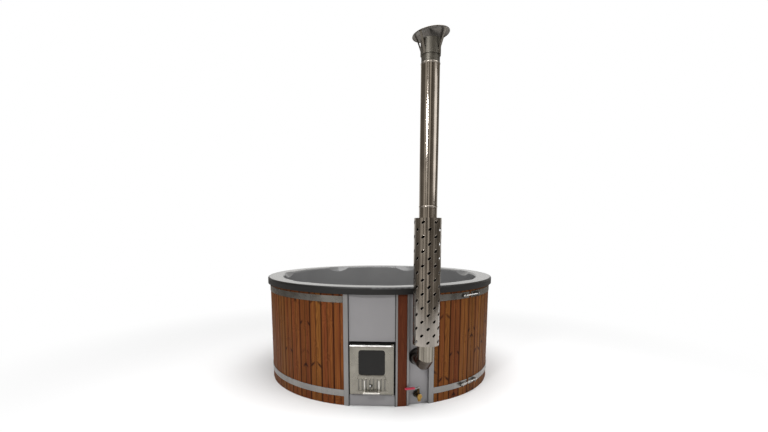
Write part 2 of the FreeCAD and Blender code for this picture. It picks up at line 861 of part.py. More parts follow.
jacket = new_body("jacket")
for offset, depth, kind in (
    (jacket_back, s.jacket_wall, "back"),
    (jacket_back + s.jacket_wall, jacket_front - jacket_back - s.jacket_wall * 2, "walls"),
    (jacket_front - s.jacket_wall, s.jacket_wall, "front"),
):
    outline = new_sketch(jacket, "XZ_Plane", offset)
    rectangle(outline, -s.jacket_left, s.jacket_bottom, jacket_right, jacket_top)
    if kind == "back":
        for height in (s.water_pipe_low, s.water_pipe_high):
            circle(outline, 0, height, s.water_pipe_radius + s.fit_clearance)
    if kind == "walls":
        rectangle(outline, s.jacket_wall - s.jacket_left, s.jacket_bottom + s.jacket_wall,
                  jacket_right - s.jacket_wall, jacket_top - s.jacket_wall)
    if kind == "front":
        rectangle(outline, -throat_half, throat_bottom, throat_half, throat_top)
    pad(jacket, outline, depth)
flue_bore = tube("flue_bore", "XZ_Plane", flue_stub_back - s.flue_bore_overrun,
                 flue_stub_front - flue_stub_back, -s.flue_shift, flue_height,
                 stub_radius + s.fit_clearance, turn=s.flue_bay_bearing)
node("stove_jacket", cut("jacket_with_flue_hole", jacket, flue_bore))

wall = s.firebox_wall
duct_bottom = firebox_top - s.smoke_duct_height
duct_back = firebox_front - s.smoke_duct_depth
firebox_solid = fused("firebox_solid", [
    add_box("chamber", -s.firebox_half, firebox_front, firebox_bottom, s.firebox_half, firebox_back,
            firebox_top),
    add_box("duct", measure(0), firebox_front, duct_bottom, smoke_duct_reach, duct_back, firebox_top),
])
firebox_room = fused("firebox_room", [
    add_box("chamber_room", wall - s.firebox_half, firebox_front - wall, firebox_bottom + wall,
            s.firebox_half - wall, firebox_back + wall, firebox_top - wall),
    add_box("duct_room", measure(0), firebox_front - wall, duct_bottom + wall, smoke_duct_reach - wall,
            duct_back + wall, firebox_top - wall),
    add_box("throat_room", -throat_half, firebox_front + wall, throat_bottom, throat_half,
            firebox_front - wall * 2, throat_top),
    flue_bore,
])
firebox_shell = cut("firebox_shell", firebox_solid, firebox_room)
ledge_top = firebox_bottom + s.ledge_height
ledge_inner = s.firebox_half - wall - s.ledge_width
ledges = []
for left, right in ((wall - s.firebox_half, -ledge_inner), (ledge_inner, s.firebox_half - wall)):
    ledges.append(add_box("ledge", left, firebox_front - wall, ledge_top - wall, right, firebox_back + wall,
                          ledge_top))
node("firebox", fused("firebox_with_ledges", [firebox_shell] + ledges))

legs = []
leg = s.stove_leg_width
for left in (-s.jacket_left, jacket_right - leg):
    for front in (jacket_front, jacket_back + leg):
        legs.append(add_box("stove_leg", left, front, measure(0), left + leg, front - leg, s.jacket_bottom))
node("stove_legs", group("stove_leg_set", legs))

# Grate on the firebox's ledges, and a lift-out ash tray on its floor.
grate_half = s.firebox_half - wall - s.fit_clearance
grate_front = firebox_front - wall * 2
grate_back = firebox_back + wall * 2
grate = extruded("grate_bars", "XY_Plane", ledge_top, s.grate_wall, [
    (-grate_half, -grate_front),
    (grate_half, -grate_front),
    (grate_half, -grate_back),
    (-grate_half, -grate_back),
])
slot_pitch = (ledge_inner * 2 - s.grate_slot * 2) / s.grate_bars
slot_left = -(slot_pitch * (s.grate_bars - 1)) / 2 - s.grate_slot / 2
outline = new_sketch(grate, "XY_Plane", ledge_top)
rectangle(outline, slot_left, s.ledge_width - grate_front, slot_left + s.grate_slot,
          -grate_back - s.ledge_width)
slot = pocket(grate, outline, s.grate_wall, reverse=True)
linear(grate, slot, s.grate_bars, slot_pitch * (s.grate_bars - 1))
node("fire_grate", grate)

tray_bottom = firebox_bottom + wall
tray_front = grate_front - s.ledge_width
tray_back = grate_back + s.ledge_width
tray = extruded("tray", "XY_Plane", tray_bottom, s.ash_tray_depth, [
    (-s.ash_tray_half, -tray_front),
    (s.ash_tray_half, -tray_front),
    (s.ash_tray_half, -tray_back),
    (-s.ash_tray_half, -tray_back),
])
tray_wall = s.ash_tray_wall
outline = new_sketch(tray, "XY_Plane", tray_bottom + tray_wall)
rectangle(outline, tray_wall - s.ash_tray_half, tray_wall - tray_front, s.ash_tray_half - tray_wall,
          -tray_back - tray_wall)
pocket(tray, outline, s.ash_tray_depth, reverse=True)
node("ash_tray", tray)

# Water pipes from the jacket into the footwell, each with a flange on the footwell's wall.
flange_seat = root(footwell_radius * footwell_radius - s.water_flange_radius * s.water_flange_radius)
flange_seat = flange_seat - s.hoop_clearance
water_bore = s.water_pipe_radius - s.water_pipe_wall
water_pipes = []
for height in (s.water_pipe_low, s.water_pipe_high):
    pipe = new_body("water_pipe")
    outline = new_sketch(pipe, "XZ_Plane", flange_seat - s.water_flange_wall)
    circle(outline, 0, height, s.water_flange_radius)
    circle(outline, 0, height, water_bore)
    pad(pipe, outline, s.water_flange_wall)
    outline = new_sketch(pipe, "XZ_Plane", flange_seat)
    circle(outline, 0, height, s.water_pipe_radius)
    circle(outline, 0, height, water_bore)
    pad(pipe, outline, jacket_back + s.water_pipe_reach - flange_seat)
    water_pipes.append(pipe)
node("water_pipes", group("water_pipe_pair", water_pipes))

# Door frame: a throat welded to the jacket, with a flat plate that carries the seal and the hinge tabs.
door_front = bay_face + s.door_stand
door_back = door_front - s.door_depth
seal_front = door_back - s.seal_gap
plate_front = seal_front - s.seal_depth
plate_back = plate_front - s.frame_plate_wall
throat_outer_half = throat_half + wall
frame = new_body("frame")
outline = new_sketch(frame, "XZ_Plane", jacket_front)
rectangle(outline, -throat_outer_half, throat_bottom - wall, throat_outer_half, throat_top + wall)
rectangle(outline, -throat_half, throat_bottom, throat_half, throat_top)
pad(frame, outline, plate_back - jacket_front)
outline = new_sketch(frame, "XZ_Plane", plate_back)
rectangle(outline, -s.door_half, s.door_bottom - s.frame_overhang, s.door_half, door_top + s.frame_overhang)
rectangle(outline, -throat_half, throat_bottom, throat_half, throat_top)
pad(frame, outline, s.frame_plate_wall)
node("door_frame", frame)

seal = new_body("seal")
outline = new_sketch(seal, "XZ_Plane", plate_front)
rectangle(outline, -s.door_half, s.door_bottom, s.door_half, door_top)
rectangle(outline, s.seal_width - s.door_half, s.door_bottom + s.seal_width, s.door_half - s.seal_width,
          door_top - s.seal_width)
pad(seal, outline, s.seal_depth)
node("door_seal", seal)

# Hinge at the door's right edge: a tab above and below the door, each with a headed pin.
hinge_x = s.door_half - s.hinge_inset
hinge_y = door_front - s.hinge_inset
pin_hole = s.hinge_pin_radius + s.pin_clearance
pin_head = s.hinge_pin_radius + s.hinge_head_wall / 2
tabs = []
pins = []
for side, edge in ((-1, s.door_bottom), (1, door_top)):
    near = edge + side * s.hinge_tab_gap
    far = near + side * s.hinge_tab_wall
    tab = new_body("tab")
    outline = new_sketch(tab, "XY_Plane", near if side > 0 else far)
    rectangle(outline, s.door_half - s.hinge_tab_width, -door_front, s.door_half, -plate_front)
    circle(outline, hinge_x, -hinge_y, pin_hole)
    pad(tab, outline, s.hinge_tab_wall)
    tabs.append(tab)
    inner_end = edge - side * s.hinge_pin_grip
    outer_end = far + side * s.hinge_head_wall
    pins.append(turned("pin", [
        (0, inner_end),
        (s.hinge_pin_radius, inner_end),
        (s.hinge_pin_radius, far),
        (pin_head, far),
        (pin_head, outer_end),
        (0, outer_end),
    ], x=hinge_x, y=-hinge_y))
node("hinge_tabs", group("tab_pair", tabs))
node("hinge_pins", group("pin_pair", pins))

# Stove door: a folded pan with a round-cornered window, vents, the knob's slot and holes for the pins.
skin_back = door_front - s.door_wall
window_half = s.window_width / 2
window_top = door_top - s.window_top_inset
door = new_body("door_pan")
outline = new_sketch(door, "XZ_Plane", skin_back)
rectangle(outline, -s.door_half, s.door_bottom, s.door_half, door_top)
rectangle(outline, -window_half, s.window_bottom, window_half, window_top)
pad(door, outline, s.door_wall)
window_corners = [(x, z) for x in (-window_half, window_half) for z in (s.window_bottom, window_top)]
round_uprights(door, window_corners, Vector(0, 1, 0), s.window_round)
outline = new_sketch(door, "XZ_Plane", door_back)
rectangle(outline, -s.door_half, s.door_bottom, s.door_half, door_top)
rectangle(outline, s.door_wall - s.door_half, s.door_bottom + s.door_wall, s.door_half - s.door_wall,
          door_top - s.door_wall)
pad(door, outline, s.door_depth - s.door_wall)
vent_row = s.vent_pitch * (s.vent_count - 1)
vent_left = -vent_row / 2 - s.vent_width / 2
outline = new_sketch(door, "XZ_Plane", skin_back)
rectangle(outline, vent_left, s.vent_bottom, vent_left + s.vent_width, s.vent_bottom + s.vent_height)
vent = pocket(door, outline, s.door_wall, reverse=True)
linear(door, vent, s.vent_count, vent_row)
slide_travel = s.vent_pitch / 2
knob_slot = s.knob_stem_radius + s.slide_clearance * 2
outline = new_sketch(door, "XZ_Plane", skin_back)
rectangle(outline, -s.knob_offset - knob_slot, s.knob_height - knob_slot,
          slide_travel - s.knob_offset + knob_slot, s.knob_height + knob_slot)
pocket(door, outline, s.door_wall, reverse=True)
outline = new_sketch(door, "XY_Plane", s.door_bottom)
circle(outline, hinge_x, -hinge_y, pin_hole)
pocket(door, outline, door_height, reverse=True)
node("stove_door", door)

# Window glass against the door's skin, held by a rebated retainer.
glass_back = skin_back - s.glass_wall
glass_half = window_half + s.glass_lap
glass_bottom = s.window_bottom - s.glass_lap
glass_top = window_top + s.glass_lap
glass = new_body("glass")
outline = new_sketch(glass, "XZ_Plane", glass_back)
rectangle(outline, -glass_half, glass_bottom, glass_half, glass_top)
pad(glass, outline, s.glass_wall)
node("door_glass", glass)

room = s.fit_clearance
rim = s.retainer_rim + room
retainer = new_body("retainer")
outline = new_sketch(retainer, "XZ_Plane", glass_back)
rectangle(outline, -glass_half - rim, glass_bottom - rim, glass_half + rim, glass_top + rim)
rectangle(outline, -glass_half - room, glass_bottom - room, glass_half + room, glass_top + room)
pad(retainer, outline, s.glass_wall)
outline = new_sketch(retainer, "XZ_Plane", glass_back - s.retainer_wall)
rectangle(outline, -glass_half - rim, glass_bottom - rim, glass_half + rim, glass_top + rim)
rectangle(outline, -window_half, s.window_bottom, window_half, window_top)
pad(retainer, outline, s.retainer_wall)
node("glass_retainer", retainer)

# Air slide: a slotted plate in two guides behind the vents, moved by a knob through the door.
slide_front = skin_back - s.slide_clearance
slide_back = slide_front - s.slide_wall
slide_bottom = s.vent_bottom - s.slide_margin
slide_top = s.vent_bottom + s.vent_height + s.slide_margin
slide_left = vent_left - slide_travel - s.vent_pitch / 2
slide_right = -vent_left + s.vent_pitch / 2 - slide_travel
slide = new_body("slide")
outline = new_sketch(slide, "XZ_Plane", slide_back)
rectangle(outline, slide_left, slide_bottom, slide_right, slide_top)
pad(slide, outline, s.slide_wall)
outline = new_sketch(slide, "XZ_Plane", slide_back)
rectangle(outline, vent_left - slide_travel, s.vent_bottom, vent_left - slide_travel + s.vent_width,
          s.vent_bottom + s.vent_height)
slot = pocket(slide, outline, s.slide_wall, reverse=True)
linear(slide, slot, s.vent_count, vent_row)
node("air_slide", slide)

guide_right = slide_right + slide_travel
lip_front = slide_back - s.slide_clearance
guides = []
for side, edge in ((-1, slide_bottom), (1, slide_top)):
    near = edge + side * s.slide_clearance
    far = near + side * s.guide_wall
    lip = edge - side * s.guide_lip
    guides.append(extruded("guide", "YZ_Plane", slide_left, guide_right - slide_left, [
        (-skin_back, near),
        (-skin_back, far),
        (s.guide_wall - lip_front, far),
        (s.guide_wall - lip_front, lip),
        (-lip_front, lip),
        (-lip_front, near),
    ]))
node("slide_guides", group("guide_pair", guides))

knob_back = door_front + s.slide_clearance * 2
knob = tube("knob", "XZ_Plane", slide_front, knob_back - slide_front, -s.knob_offset, s.knob_height,
            s.knob_stem_radius)
outline = new_sketch(knob, "XZ_Plane", knob_back)
circle(outline, -s.knob_offset, s.knob_height, s.knob_radius)
pad(knob, outline, s.knob_length)
node("air_knob", knob)

# Door handle: two bent straps and a round bar low on the door.
strap_front = door_front + s.handle_leg_wall
bar_distance = door_front + s.handle_reach
bar_top = s.handle_bottom + s.handle_bar_radius
handle = new_body("handle")
strap_start = s.handle_leg_spread / 2 - s.handle_leg_width / 2
for offset in (strap_start, -strap_start - s.handle_leg_width):
    outline = new_sketch(handle, "YZ_Plane", offset)
    polygon(outline, [
        (-door_front, s.handle_top),
        (-door_front, bar_top),
        (-bar_distance, s.handle_bottom),
        (-bar_distance, bar_top),
        (-strap_front, bar_top + s.handle_leg_wall),
        (-strap_front, s.handle_top),
    ])
    pad(handle, outline, s.handle_leg_width)
outline = new_sketch(handle, "YZ_Plane", -s.handle_bar_length / 2)
circle(outline, -bar_distance, s.handle_bottom, s.handle_bar_radius)
pad(handle, outline, s.handle_bar_length)
node("door_handle", handle)

# Flue: a stub through the panel, a mitred elbow, two pipe lengths, a top length and a rain cap.
flue_stand = s.rim_radius + s.guard_gap + s.guard_radius
flue_x, flue_y = in_flue_bay(-s.flue_shift, flue_stand)
stub = tube("stub", "XZ_Plane", flue_stub_back, flue_stub_front - flue_stub_back, -s.flue_shift,
            flue_height, stub_radius, stub_radius - s.flue_wall, turn=s.flue_bay_bearing)
node("flue_stub", stub)
collar = tube("collar", "XZ_Plane", bay_face, s.collar_wall, -s.flue_shift, flue_height,
              s.flue_radius + s.collar_width, stub_radius + s.fit_clearance, turn=s.flue_bay_bearing)
node("flue_collar", collar)

elbow_start = bay_face + s.elbow_stand
elbow_top = flue_height + s.elbow_rise
elbow = new_body("elbow", turn=s.flue_bay_bearing)
spine = new_sketch(elbow, "YZ_Plane", -s.flue_shift)
polygon(spine, [
    (-elbow_start, flue_height),
    (s.elbow_cut - flue_stand, flue_height),
    (-flue_stand, flue_height + s.elbow_cut),
    (-flue_stand, elbow_top),
], closed=False)
outline = new_sketch(elbow, "XZ_Plane", elbow_start)
circle(outline, -s.flue_shift, flue_height, s.flue_radius)
circle(outline, -s.flue_shift, flue_height, s.flue_radius - s.flue_wall)
sweep = elbow.newObject("PartDesign::AdditivePipe", "elbow_sweep")
sweep.Profile = outline
sweep.Spine = spine
sweep.Transition = "Right corner"
node("flue_elbow", elbow)

flue_bore_radius = s.flue_radius - s.flue_wall
spigot_bore = stub_radius - s.flue_wall
flue_joint_low = elbow_top + s.lower_flue_length
flue_joint_high = flue_joint_low + s.upper_flue_length
for label, bottom, top in (
    ("lower_flue_pipe", elbow_top, flue_joint_low),
    ("upper_flue_pipe", flue_joint_low, flue_joint_high),
):
    pipe = turned(label + "_length", [
        (spigot_bore, bottom - s.spigot_length),
        (stub_radius, bottom - s.spigot_length),
        (stub_radius, bottom),
        (s.flue_radius, bottom),
        (s.flue_radius, top),
        (flue_bore_radius, top),
        (flue_bore_radius, bottom + s.flue_wall),
        (spigot_bore, bottom + s.flue_wall),
    ], x=flue_x, y=flue_y)
    node(label, pipe)

# Top length: a neck that stands in the pipe below, under a wider sleeve.
sleeve_bottom = flue_joint_high + s.neck_length
flue_mouth = sleeve_bottom + s.sleeve_length
node("top_flue_pipe", turned("top_length", [
    (spigot_bore, flue_joint_high - s.spigot_length),
    (stub_radius, flue_joint_high - s.spigot_length),
    (stub_radius, sleeve_bottom),
    (s.sleeve_radius, sleeve_bottom),
    (s.sleeve_radius, flue_mouth),
    (s.sleeve_radius - s.flue_wall, flue_mouth),
    (s.sleeve_radius - s.flue_wall, sleeve_bottom + s.flue_wall),
    (spigot_bore, sleeve_bottom + s.flue_wall),
], x=flue_x, y=flue_y))


def tilted(item):
    """Stand a piece of the cap over the flue's mouth, leaning to one side."""
    place(item, x=flue_x, y=flue_y, z=cap_rim_height)
    spot = item.Placement.Base
    item.Placement = Placement(spot, Rotation(Vector(0, -1, 0), s.cap_tilt.number))
    item.setExpression("Placement.Rotation.Angle", s.cap_tilt.formula)
    return item


# Rain cap: a shallow cone, knocked a little askew as it stands.
cap_rim_height = flue_mouth + s.cap_gap
node("rain_cap", tilted(turned("cap", [
    (0, s.cap_rise - s.cap_wall),
    (s.cap_radius, -s.cap_wall),
    (s.cap_radius, 0),
    (0, s.cap_rise),
])))

# Straps from the sides of the sleeve out to the underside of the cap, each cut to the cap's lean.
leg_inner = s.sleeve_radius + s.flue_clearance
leg_knee = sleeve_bottom + s.cap_leg_foot
leg_outer = s.cap_radius - s.cap_leg_inset
leg_rise = cap_rim_height - leg_knee
leg_run = leg_outer - leg_inner
leg_end = cap_rim_height + leg_rise
straps = new_body("cap_leg_ring", x=flue_x, y=flue_y, turn=s.cap_leg_bearing)
outline = new_sketch(straps, "YZ_Plane", -s.cap_leg_width / 2)
polygon(outline, [
    (-leg_inner, sleeve_bottom),
    (-leg_inner - s.cap_leg_wall, sleeve_bottom),
    (-leg_inner - s.cap_leg_wall, leg_knee),
    (-leg_inner - s.cap_leg_wall - leg_run * 2, leg_end),
    (-leg_inner - leg_run * 2, leg_end),
    (-leg_inner, leg_knee),
])
strap = pad(straps, outline, s.cap_leg_width)
polar(straps, strap, s.cap_leg_count, 360)
under_cap = -s.cap_wall - s.flue_clearance
room_radius = leg_inner + s.cap_leg_wall + leg_run * 3
cap_slope = s.cap_rise / s.cap_radius
cap_room = tilted(turned("cap_room", [
    (0, under_cap + s.cap_rise),
    (room_radius, under_cap + cap_slope * (s.cap_radius - room_radius)),
    (room_radius, leg_rise * 3),
    (0, leg_rise * 3),
]))
node("cap_legs", cut("cut_straps", straps, cap_room))

# Heat guard: a slotted sleeve round the lower pipe, on radial spacers.
guard_bore = s.guard_radius - s.guard_wall
guard_bottom = elbow_top - s.guard_drop
guard_top = guard_bottom + s.guard_height
guard_sleeve = turned("guard_sleeve", [
    (guard_bore, guard_bottom),
    (s.guard_radius, guard_bottom),
    (s.guard_radius, guard_top),
    (guard_bore, guard_top),
])
columns = round(s.guard_columns.number)
rows = round(s.guard_rows.number)
slot_depth = s.guard_slot_width.number
slot_half = s.guard_slot_width.number / 2
slot_straight = (s.guard_slot_length.number - s.guard_slot_width.number) / 2
slot_rise = s.guard_slot_pitch.number
slot_stagger = s.guard_stagger.number
first_slot = guard_bottom.number + (s.guard_height.number - (rows - 1 + slot_stagger) * slot_rise) / 2
column_turn = (360 - s.guard_seam_arc.number) / columns
first_column = s.guard_bearing.number - column_turn * (columns - 1) / 2
slot_outline = Part.Wire([
    Part.LineSegment(Vector(-slot_half, 0, -slot_straight), Vector(-slot_half, 0, slot_straight)).toShape(),
    Part.Arc(Vector(-slot_half, 0, slot_straight), Vector(0, 0, slot_straight + slot_half),
             Vector(slot_half, 0, slot_straight)).toShape(),
    Part.LineSegment(Vector(slot_half, 0, slot_straight), Vector(slot_half, 0, -slot_straight)).toShape(),
    Part.Arc(Vector(slot_half, 0, -slot_straight), Vector(0, 0, -slot_straight - slot_half),
             Vector(-slot_half, 0, -slot_straight)).toShape(),
])
slot_tools = []
for column in range(columns):
    for row in range(rows):
        tool = Part.Face(slot_outline).extrude(Vector(0, slot_depth, 0))
        tool.rotate(Vector(0, 0, 0), Vector(0, 1, 0), s.guard_slot_slant.number)
        height = first_slot + (row + slot_stagger * (column % 2)) * slot_rise
        tool.translate(Vector(0, -s.guard_radius.number - slot_depth / 2, height))
        tool.rotate(Vector(0, 0, 0), Vector(0, 0, 1), first_column + column_turn * column)
        slot_tools.append(tool)
guard_slots = doc.addObject("Part::Feature", "guard_slots")
guard_slots.Shape = Part.makeCompound(slot_tools)
node("heat_guard", place(cut("guard", guard_sleeve, guard_slots), x=flue_x, y=flue_y))

spacers = []
spacer_inner = s.flue_radius + s.flue_clearance
spacer_outer = root(guard_bore * guard_bore - s.spacer_wall * s.spacer_wall / 4) - s.flue_clearance
for height in (guard_bottom + s.spacer_inset, guard_top - s.spacer_inset):
    ring = new_body("spacer_ring", x=flue_x, y=flue_y)
    outline = new_sketch(ring, "XY_Plane", height - s.spacer_width / 2)
    rectangle(outline, -s.spacer_wall / 2, -spacer_outer, s.spacer_wall / 2, -spacer_inner)
    spacer = pad(ring, outline, s.spacer_width)
    polar(ring, spacer, s.spacer_count, 360)
    spacers.append(ring)
node("guard_spacers", group("spacer_rings", spacers))

# Drain: a fitting in the floor and a pipe under the stove to the valve on the flue panel.
fitting = new_body("fitting", turn=s.flue_bay_bearing)
for offset, length, radius in (
    (s.drain_sump_floor, s.floor_height - s.drain_sump_floor, s.drain_neck_radius),
    (s.floor_height, s.drain_flange_wall, s.drain_flange_radius),
):
    outline = new_sketch(fitting, "XY_Plane", offset)
    circle(outline, -s.drain_shift, -drain_seat, radius)
    pad(fitting, outline, length)
outline = new_sketch(fitting, "XZ_Plane", drain_seat)
circle(outline, -s.drain_shift, s.drain_height, s.drain_boss_radius)
pad(fitting, outline, s.drain_boss_length)
outline = new_sketch(fitting, "XY_Plane", s.drain_sump_floor + s.drain_wall)
circle(outline, -s.drain_shift, -drain_seat, s.drain_neck_radius - s.drain_wall)
pocket(fitting, outline, s.floor_height, reverse=True)
outline = new_sketch(fitting, "XZ_Plane", drain_seat)
circle(outline, -s.drain_shift, s.drain_height, s.drain_pipe_radius - s.drain_pipe_wall)
pocket(fitting, outline, s.drain_boss_length, reverse=True)
pipe_start = drain_seat + s.drain_boss_length - s.drain_socket
outline = new_sketch(fitting, "XZ_Plane", pipe_start)
circle(outline, -s.drain_shift, s.drain_height, s.drain_pipe_radius + s.thread_clearance)
pocket(fitting, outline, s.drain_socket, reverse=True)
node("drain_fitting", fitting)

valve_back = bay_face + s.lock_nut_wall
drain_pipe = tube("pipe_run", "XZ_Plane", pipe_start, valve_back - pipe_start, -s.drain_shift, s.drain_height,
                  s.drain_pipe_radius, s.drain_pipe_radius - s.drain_pipe_wall, turn=s.flue_bay_bearing)
node("drain_pipe", drain_pipe)
lock_nut = tube("lock_ring", "XZ_Plane", bay_face, s.lock_nut_wall, -s.drain_shift, s.drain_height,
                s.lock_nut_radius, s.drain_pipe_radius + s.thread_clearance, turn=s.flue_bay_bearing)
node("lock_nut", lock_nut)

# Ball valve: a brass body with a neck for the stem and a spout, a bored ball on the stem, and a red lever.
ball_distance = valve_back + s.valve_stand
valve_x, valve_y = in_flue_bay(-s.drain_shift, ball_distance)
spout_distance = valve_back + s.valve_length - s.spout_setback
valve = tube("valve", "XZ_Plane", valve_back, s.valve_length, -s.drain_shift, s.drain_height, s.valve_radius,
             turn=s.flue_bay_bearing)
hose_tail_top = s.hose_tail_bottom + s.hose_tail_length
for distance, bottom, top, radius in (
    (ball_distance, s.drain_height, s.valve_neck_top, s.valve_neck_radius),
    (spout_distance, hose_tail_top, s.drain_height, s.spout_radius),
    (spout_distance, s.hose_tail_bottom, hose_tail_top, s.hose_tail_radius),
):
    outline = new_sketch(valve, "XY_Plane", bottom)
    circle(outline, -s.drain_shift, -distance, radius)
    pad(valve, outline, top - bottom)
outline = new_sketch(valve, "XZ_Plane", valve_back)
circle(outline, -s.drain_shift, s.drain_height, s.valve_bore_radius)
pocket(valve, outline, spout_distance - valve_back, reverse=True)
for distance, bottom, top, radius in (
    (ball_distance, s.drain_height, s.valve_neck_top, s.stem_radius + s.pin_clearance),
    (spout_distance, s.hose_tail_bottom, s.drain_height, s.spout_bore_radius),
):
    outline = new_sketch(valve, "XY_Plane", bottom)
    circle(outline, -s.drain_shift, -distance, radius)
    pocket(valve, outline, top - bottom, reverse=True)
seat = doc.addObject("Part::Sphere", "ball_seat")
bind(seat, Radius=s.valve_ball_radius + s.valve_ball_clearance)
place(seat, x=valve_x, y=valve_y, z=s.drain_height)
node("valve_body", cut("valve_with_seat", valve, seat))

lever_bottom = s.valve_neck_top + s.hoop_clearance
lever_top = lever_bottom + s.lever_wall
ball = doc.addObject("Part::Sphere", "ball")
bind(ball, Radius=s.valve_ball_radius)
place(ball, x=valve_x, y=valve_y, z=s.drain_height)
stem = tube("stem", "XY_Plane", s.drain_height, lever_top + s.lever_nut_height - s.drain_height, 0, 0,
            s.stem_radius, x=valve_x, y=valve_y)
ball_bore = tube("ball_bore", "YZ_Plane", -s.valve_radius, s.valve_radius * 2, 0, s.drain_height,
                 s.valve_bore_radius, x=valve_x, y=valve_y, turn=s.flue_bay_bearing)
node("valve_ball", cut("bored_ball", fused("ball_and_stem", [ball, stem]), ball_bore))

lever = new_body("lever", x=valve_x, y=valve_y, turn=s.flue_bay_bearing)
outline = new_sketch(lever, "XY_Plane", lever_bottom)
rectangle(outline, -s.lever_length, -s.lever_width / 2, s.lever_width / 2, s.lever_width / 2)
circle(outline, 0, 0, s.stem_radius + s.thread_clearance)
pad(lever, outline, s.lever_wall)
node("valve_lever", lever)
lever_nut = tube("stem_nut", "XY_Plane", lever_top, s.lever_nut_height, 0, 0, s.lever_nut_radius,
                 s.stem_radius + s.thread_clearance, x=valve_x, y=valve_y)
node("lever_nut", lever_nut)

# Every feature has to be sound before anything is written.
doc.recompute()
failed = [item.Name for item in doc.Objects if "Invalid" in item.State or "Error" in item.State]
for item in nodes:
    if item.Shape.isNull() or not item.Shape.isValid() or not item.Shape.Solids:
        failed.append(item.Label)
if failed:
    raise RuntimeError("unsound: " + ", ".join(failed))

os.makedirs("parts", exist_ok=True)
for item in nodes:
    item.Shape.exportStep("parts/%s.step" % item.Label)
print("%d nodes, %d solids" % (len(nodes), sum(len(item.Shape.Solids) for item in nodes)))
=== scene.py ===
import math
from functools import partial

import bmesh
import bpy
from mathutils import Matrix, Vector


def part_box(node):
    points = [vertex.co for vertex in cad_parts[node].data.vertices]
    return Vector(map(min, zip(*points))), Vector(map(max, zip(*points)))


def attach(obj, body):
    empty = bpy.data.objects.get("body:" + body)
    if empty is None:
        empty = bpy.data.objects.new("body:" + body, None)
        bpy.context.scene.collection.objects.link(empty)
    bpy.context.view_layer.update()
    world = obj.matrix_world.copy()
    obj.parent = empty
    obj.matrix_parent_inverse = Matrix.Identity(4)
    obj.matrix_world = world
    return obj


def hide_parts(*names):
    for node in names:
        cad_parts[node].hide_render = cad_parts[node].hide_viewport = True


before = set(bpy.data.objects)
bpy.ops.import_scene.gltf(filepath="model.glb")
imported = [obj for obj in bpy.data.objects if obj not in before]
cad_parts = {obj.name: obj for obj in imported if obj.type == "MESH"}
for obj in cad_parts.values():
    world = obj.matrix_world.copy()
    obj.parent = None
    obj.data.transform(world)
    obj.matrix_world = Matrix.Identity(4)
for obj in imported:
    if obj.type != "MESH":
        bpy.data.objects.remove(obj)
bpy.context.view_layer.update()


# Bearers and deck: sawn spruce beams on the ground and a planed deck disc on top of them.
# They carry the footwell, and only their ends and undersides are ever seen.

def paint(code):
    """A colour written as an sRGB hex value, as the linear colour that a shader takes."""
    parts = [int(code[i:i + 2], 16) / 255 for i in (1, 3, 5)]
    return tuple(c / 12.92 if c <= 0.04045 else ((c + 0.055) / 1.055) ** 2.4 for c in parts) + (1.0,)


def add_node(tree, kind, inputs=None, **settings):
    """Add one node to a tree with its settings. A kind without the word Node in it is a shader node.

    An input is a constant, a hex colour, a socket, or another node, whose first output is then meant.
    """
    made = tree.nodes.new(kind if "Node" in kind else "ShaderNode" + kind)
    for name, value in settings.items():
        setattr(made, name, value)
    for name, value in (inputs or {}).items():
        if isinstance(value, bpy.types.Node):
            value = value.outputs[0]
        if isinstance(value, bpy.types.NodeSocket):
            tree.links.new(value, made.inputs[name])
        else:
            made.inputs[name].default_value = paint(value) if str(value).startswith("#") else value
    return made


def span(start, end, low=0.0, high=1.0):
    """Inputs that turn the range from start to end into the range from low to high."""
    return {"From Min": start, "From Max": end, "To Min": low, "To Max": high}


def start_finish(name, attribute=None):
    """A new material, the function that adds a node to it, and the place that its look depends on.

    The place is a point of the object, or is read from an attribute.
    """
    finish = bpy.data.materials.new(name)
    finish.use_nodes = True
    finish.node_tree.nodes.clear()
    add = partial(add_node, finish.node_tree)
    if attribute:
        return finish, add, add("Attribute", attribute_name=attribute).outputs["Vector"]
    return finish, add, add("TexCoord").outputs["Object"]


def end_finish(finish, inputs, kind="BsdfPrincipled"):
    """Close a material with its shader, and hand it over."""
    shader = add_node(finish.node_tree, kind, inputs)
    add_node(finish.node_tree, "OutputMaterial", {"Surface": shader})
    return finish


def mottled(name, per_metre, tones, roughness, detail=2.0, relief=None, stretch=None, cells=False,
            shine=None):
    """A finish in two tones, in patches or cells that are counted per metre.

    The roughness is one number, or the two that it varies between. The relief is a strength and a height.
    """
    finish, add, place = start_finish(name)
    if stretch:
        place = add("Mapping", {"Vector": place, "Scale": stretch})
    if cells:
        patches = add("TexVoronoi", {"Vector": place, "Scale": per_metre})
    else:
        patches = add("TexNoise", {"Vector": place, "Scale": per_metre, "Detail": detail})
    tone = add("MixRGB", {0: patches, 1: tones[0], 2: tones[1]})
    if isinstance(roughness, tuple):
        low, high = roughness
        roughness = add("MapRange", {"Value": patches, "To Min": low, "To Max": high})
    inputs = {"Base Color": tone, "Roughness": roughness, **(shine or {})}
    if relief:
        strength, height = relief
        inputs["Normal"] = add("Bump", {"Height": patches, "Strength": strength, "Distance": height})
    return end_finish(finish, inputs)


def dress(finish, *names):
    """Give CAD nodes a finish in place of their plain one."""
    for name in names:
        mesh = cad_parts[name].data
        mesh.materials.clear()
        mesh.materials.append(finish)


# Sawn spruce: pale yellow wood with soft growth lines 7 mm apart along the beam, and no shine.
spruce = mottled("sawn_spruce", per_metre=1 / 0.007, tones=("#b08a5c", "#8d6a42"), roughness=0.8, detail=3.0,
                 relief=(0.3, 0.001), stretch=(1, 0.06, 1))
dress(spruce, "base_beams", "base_deck", "battens", "uprights")
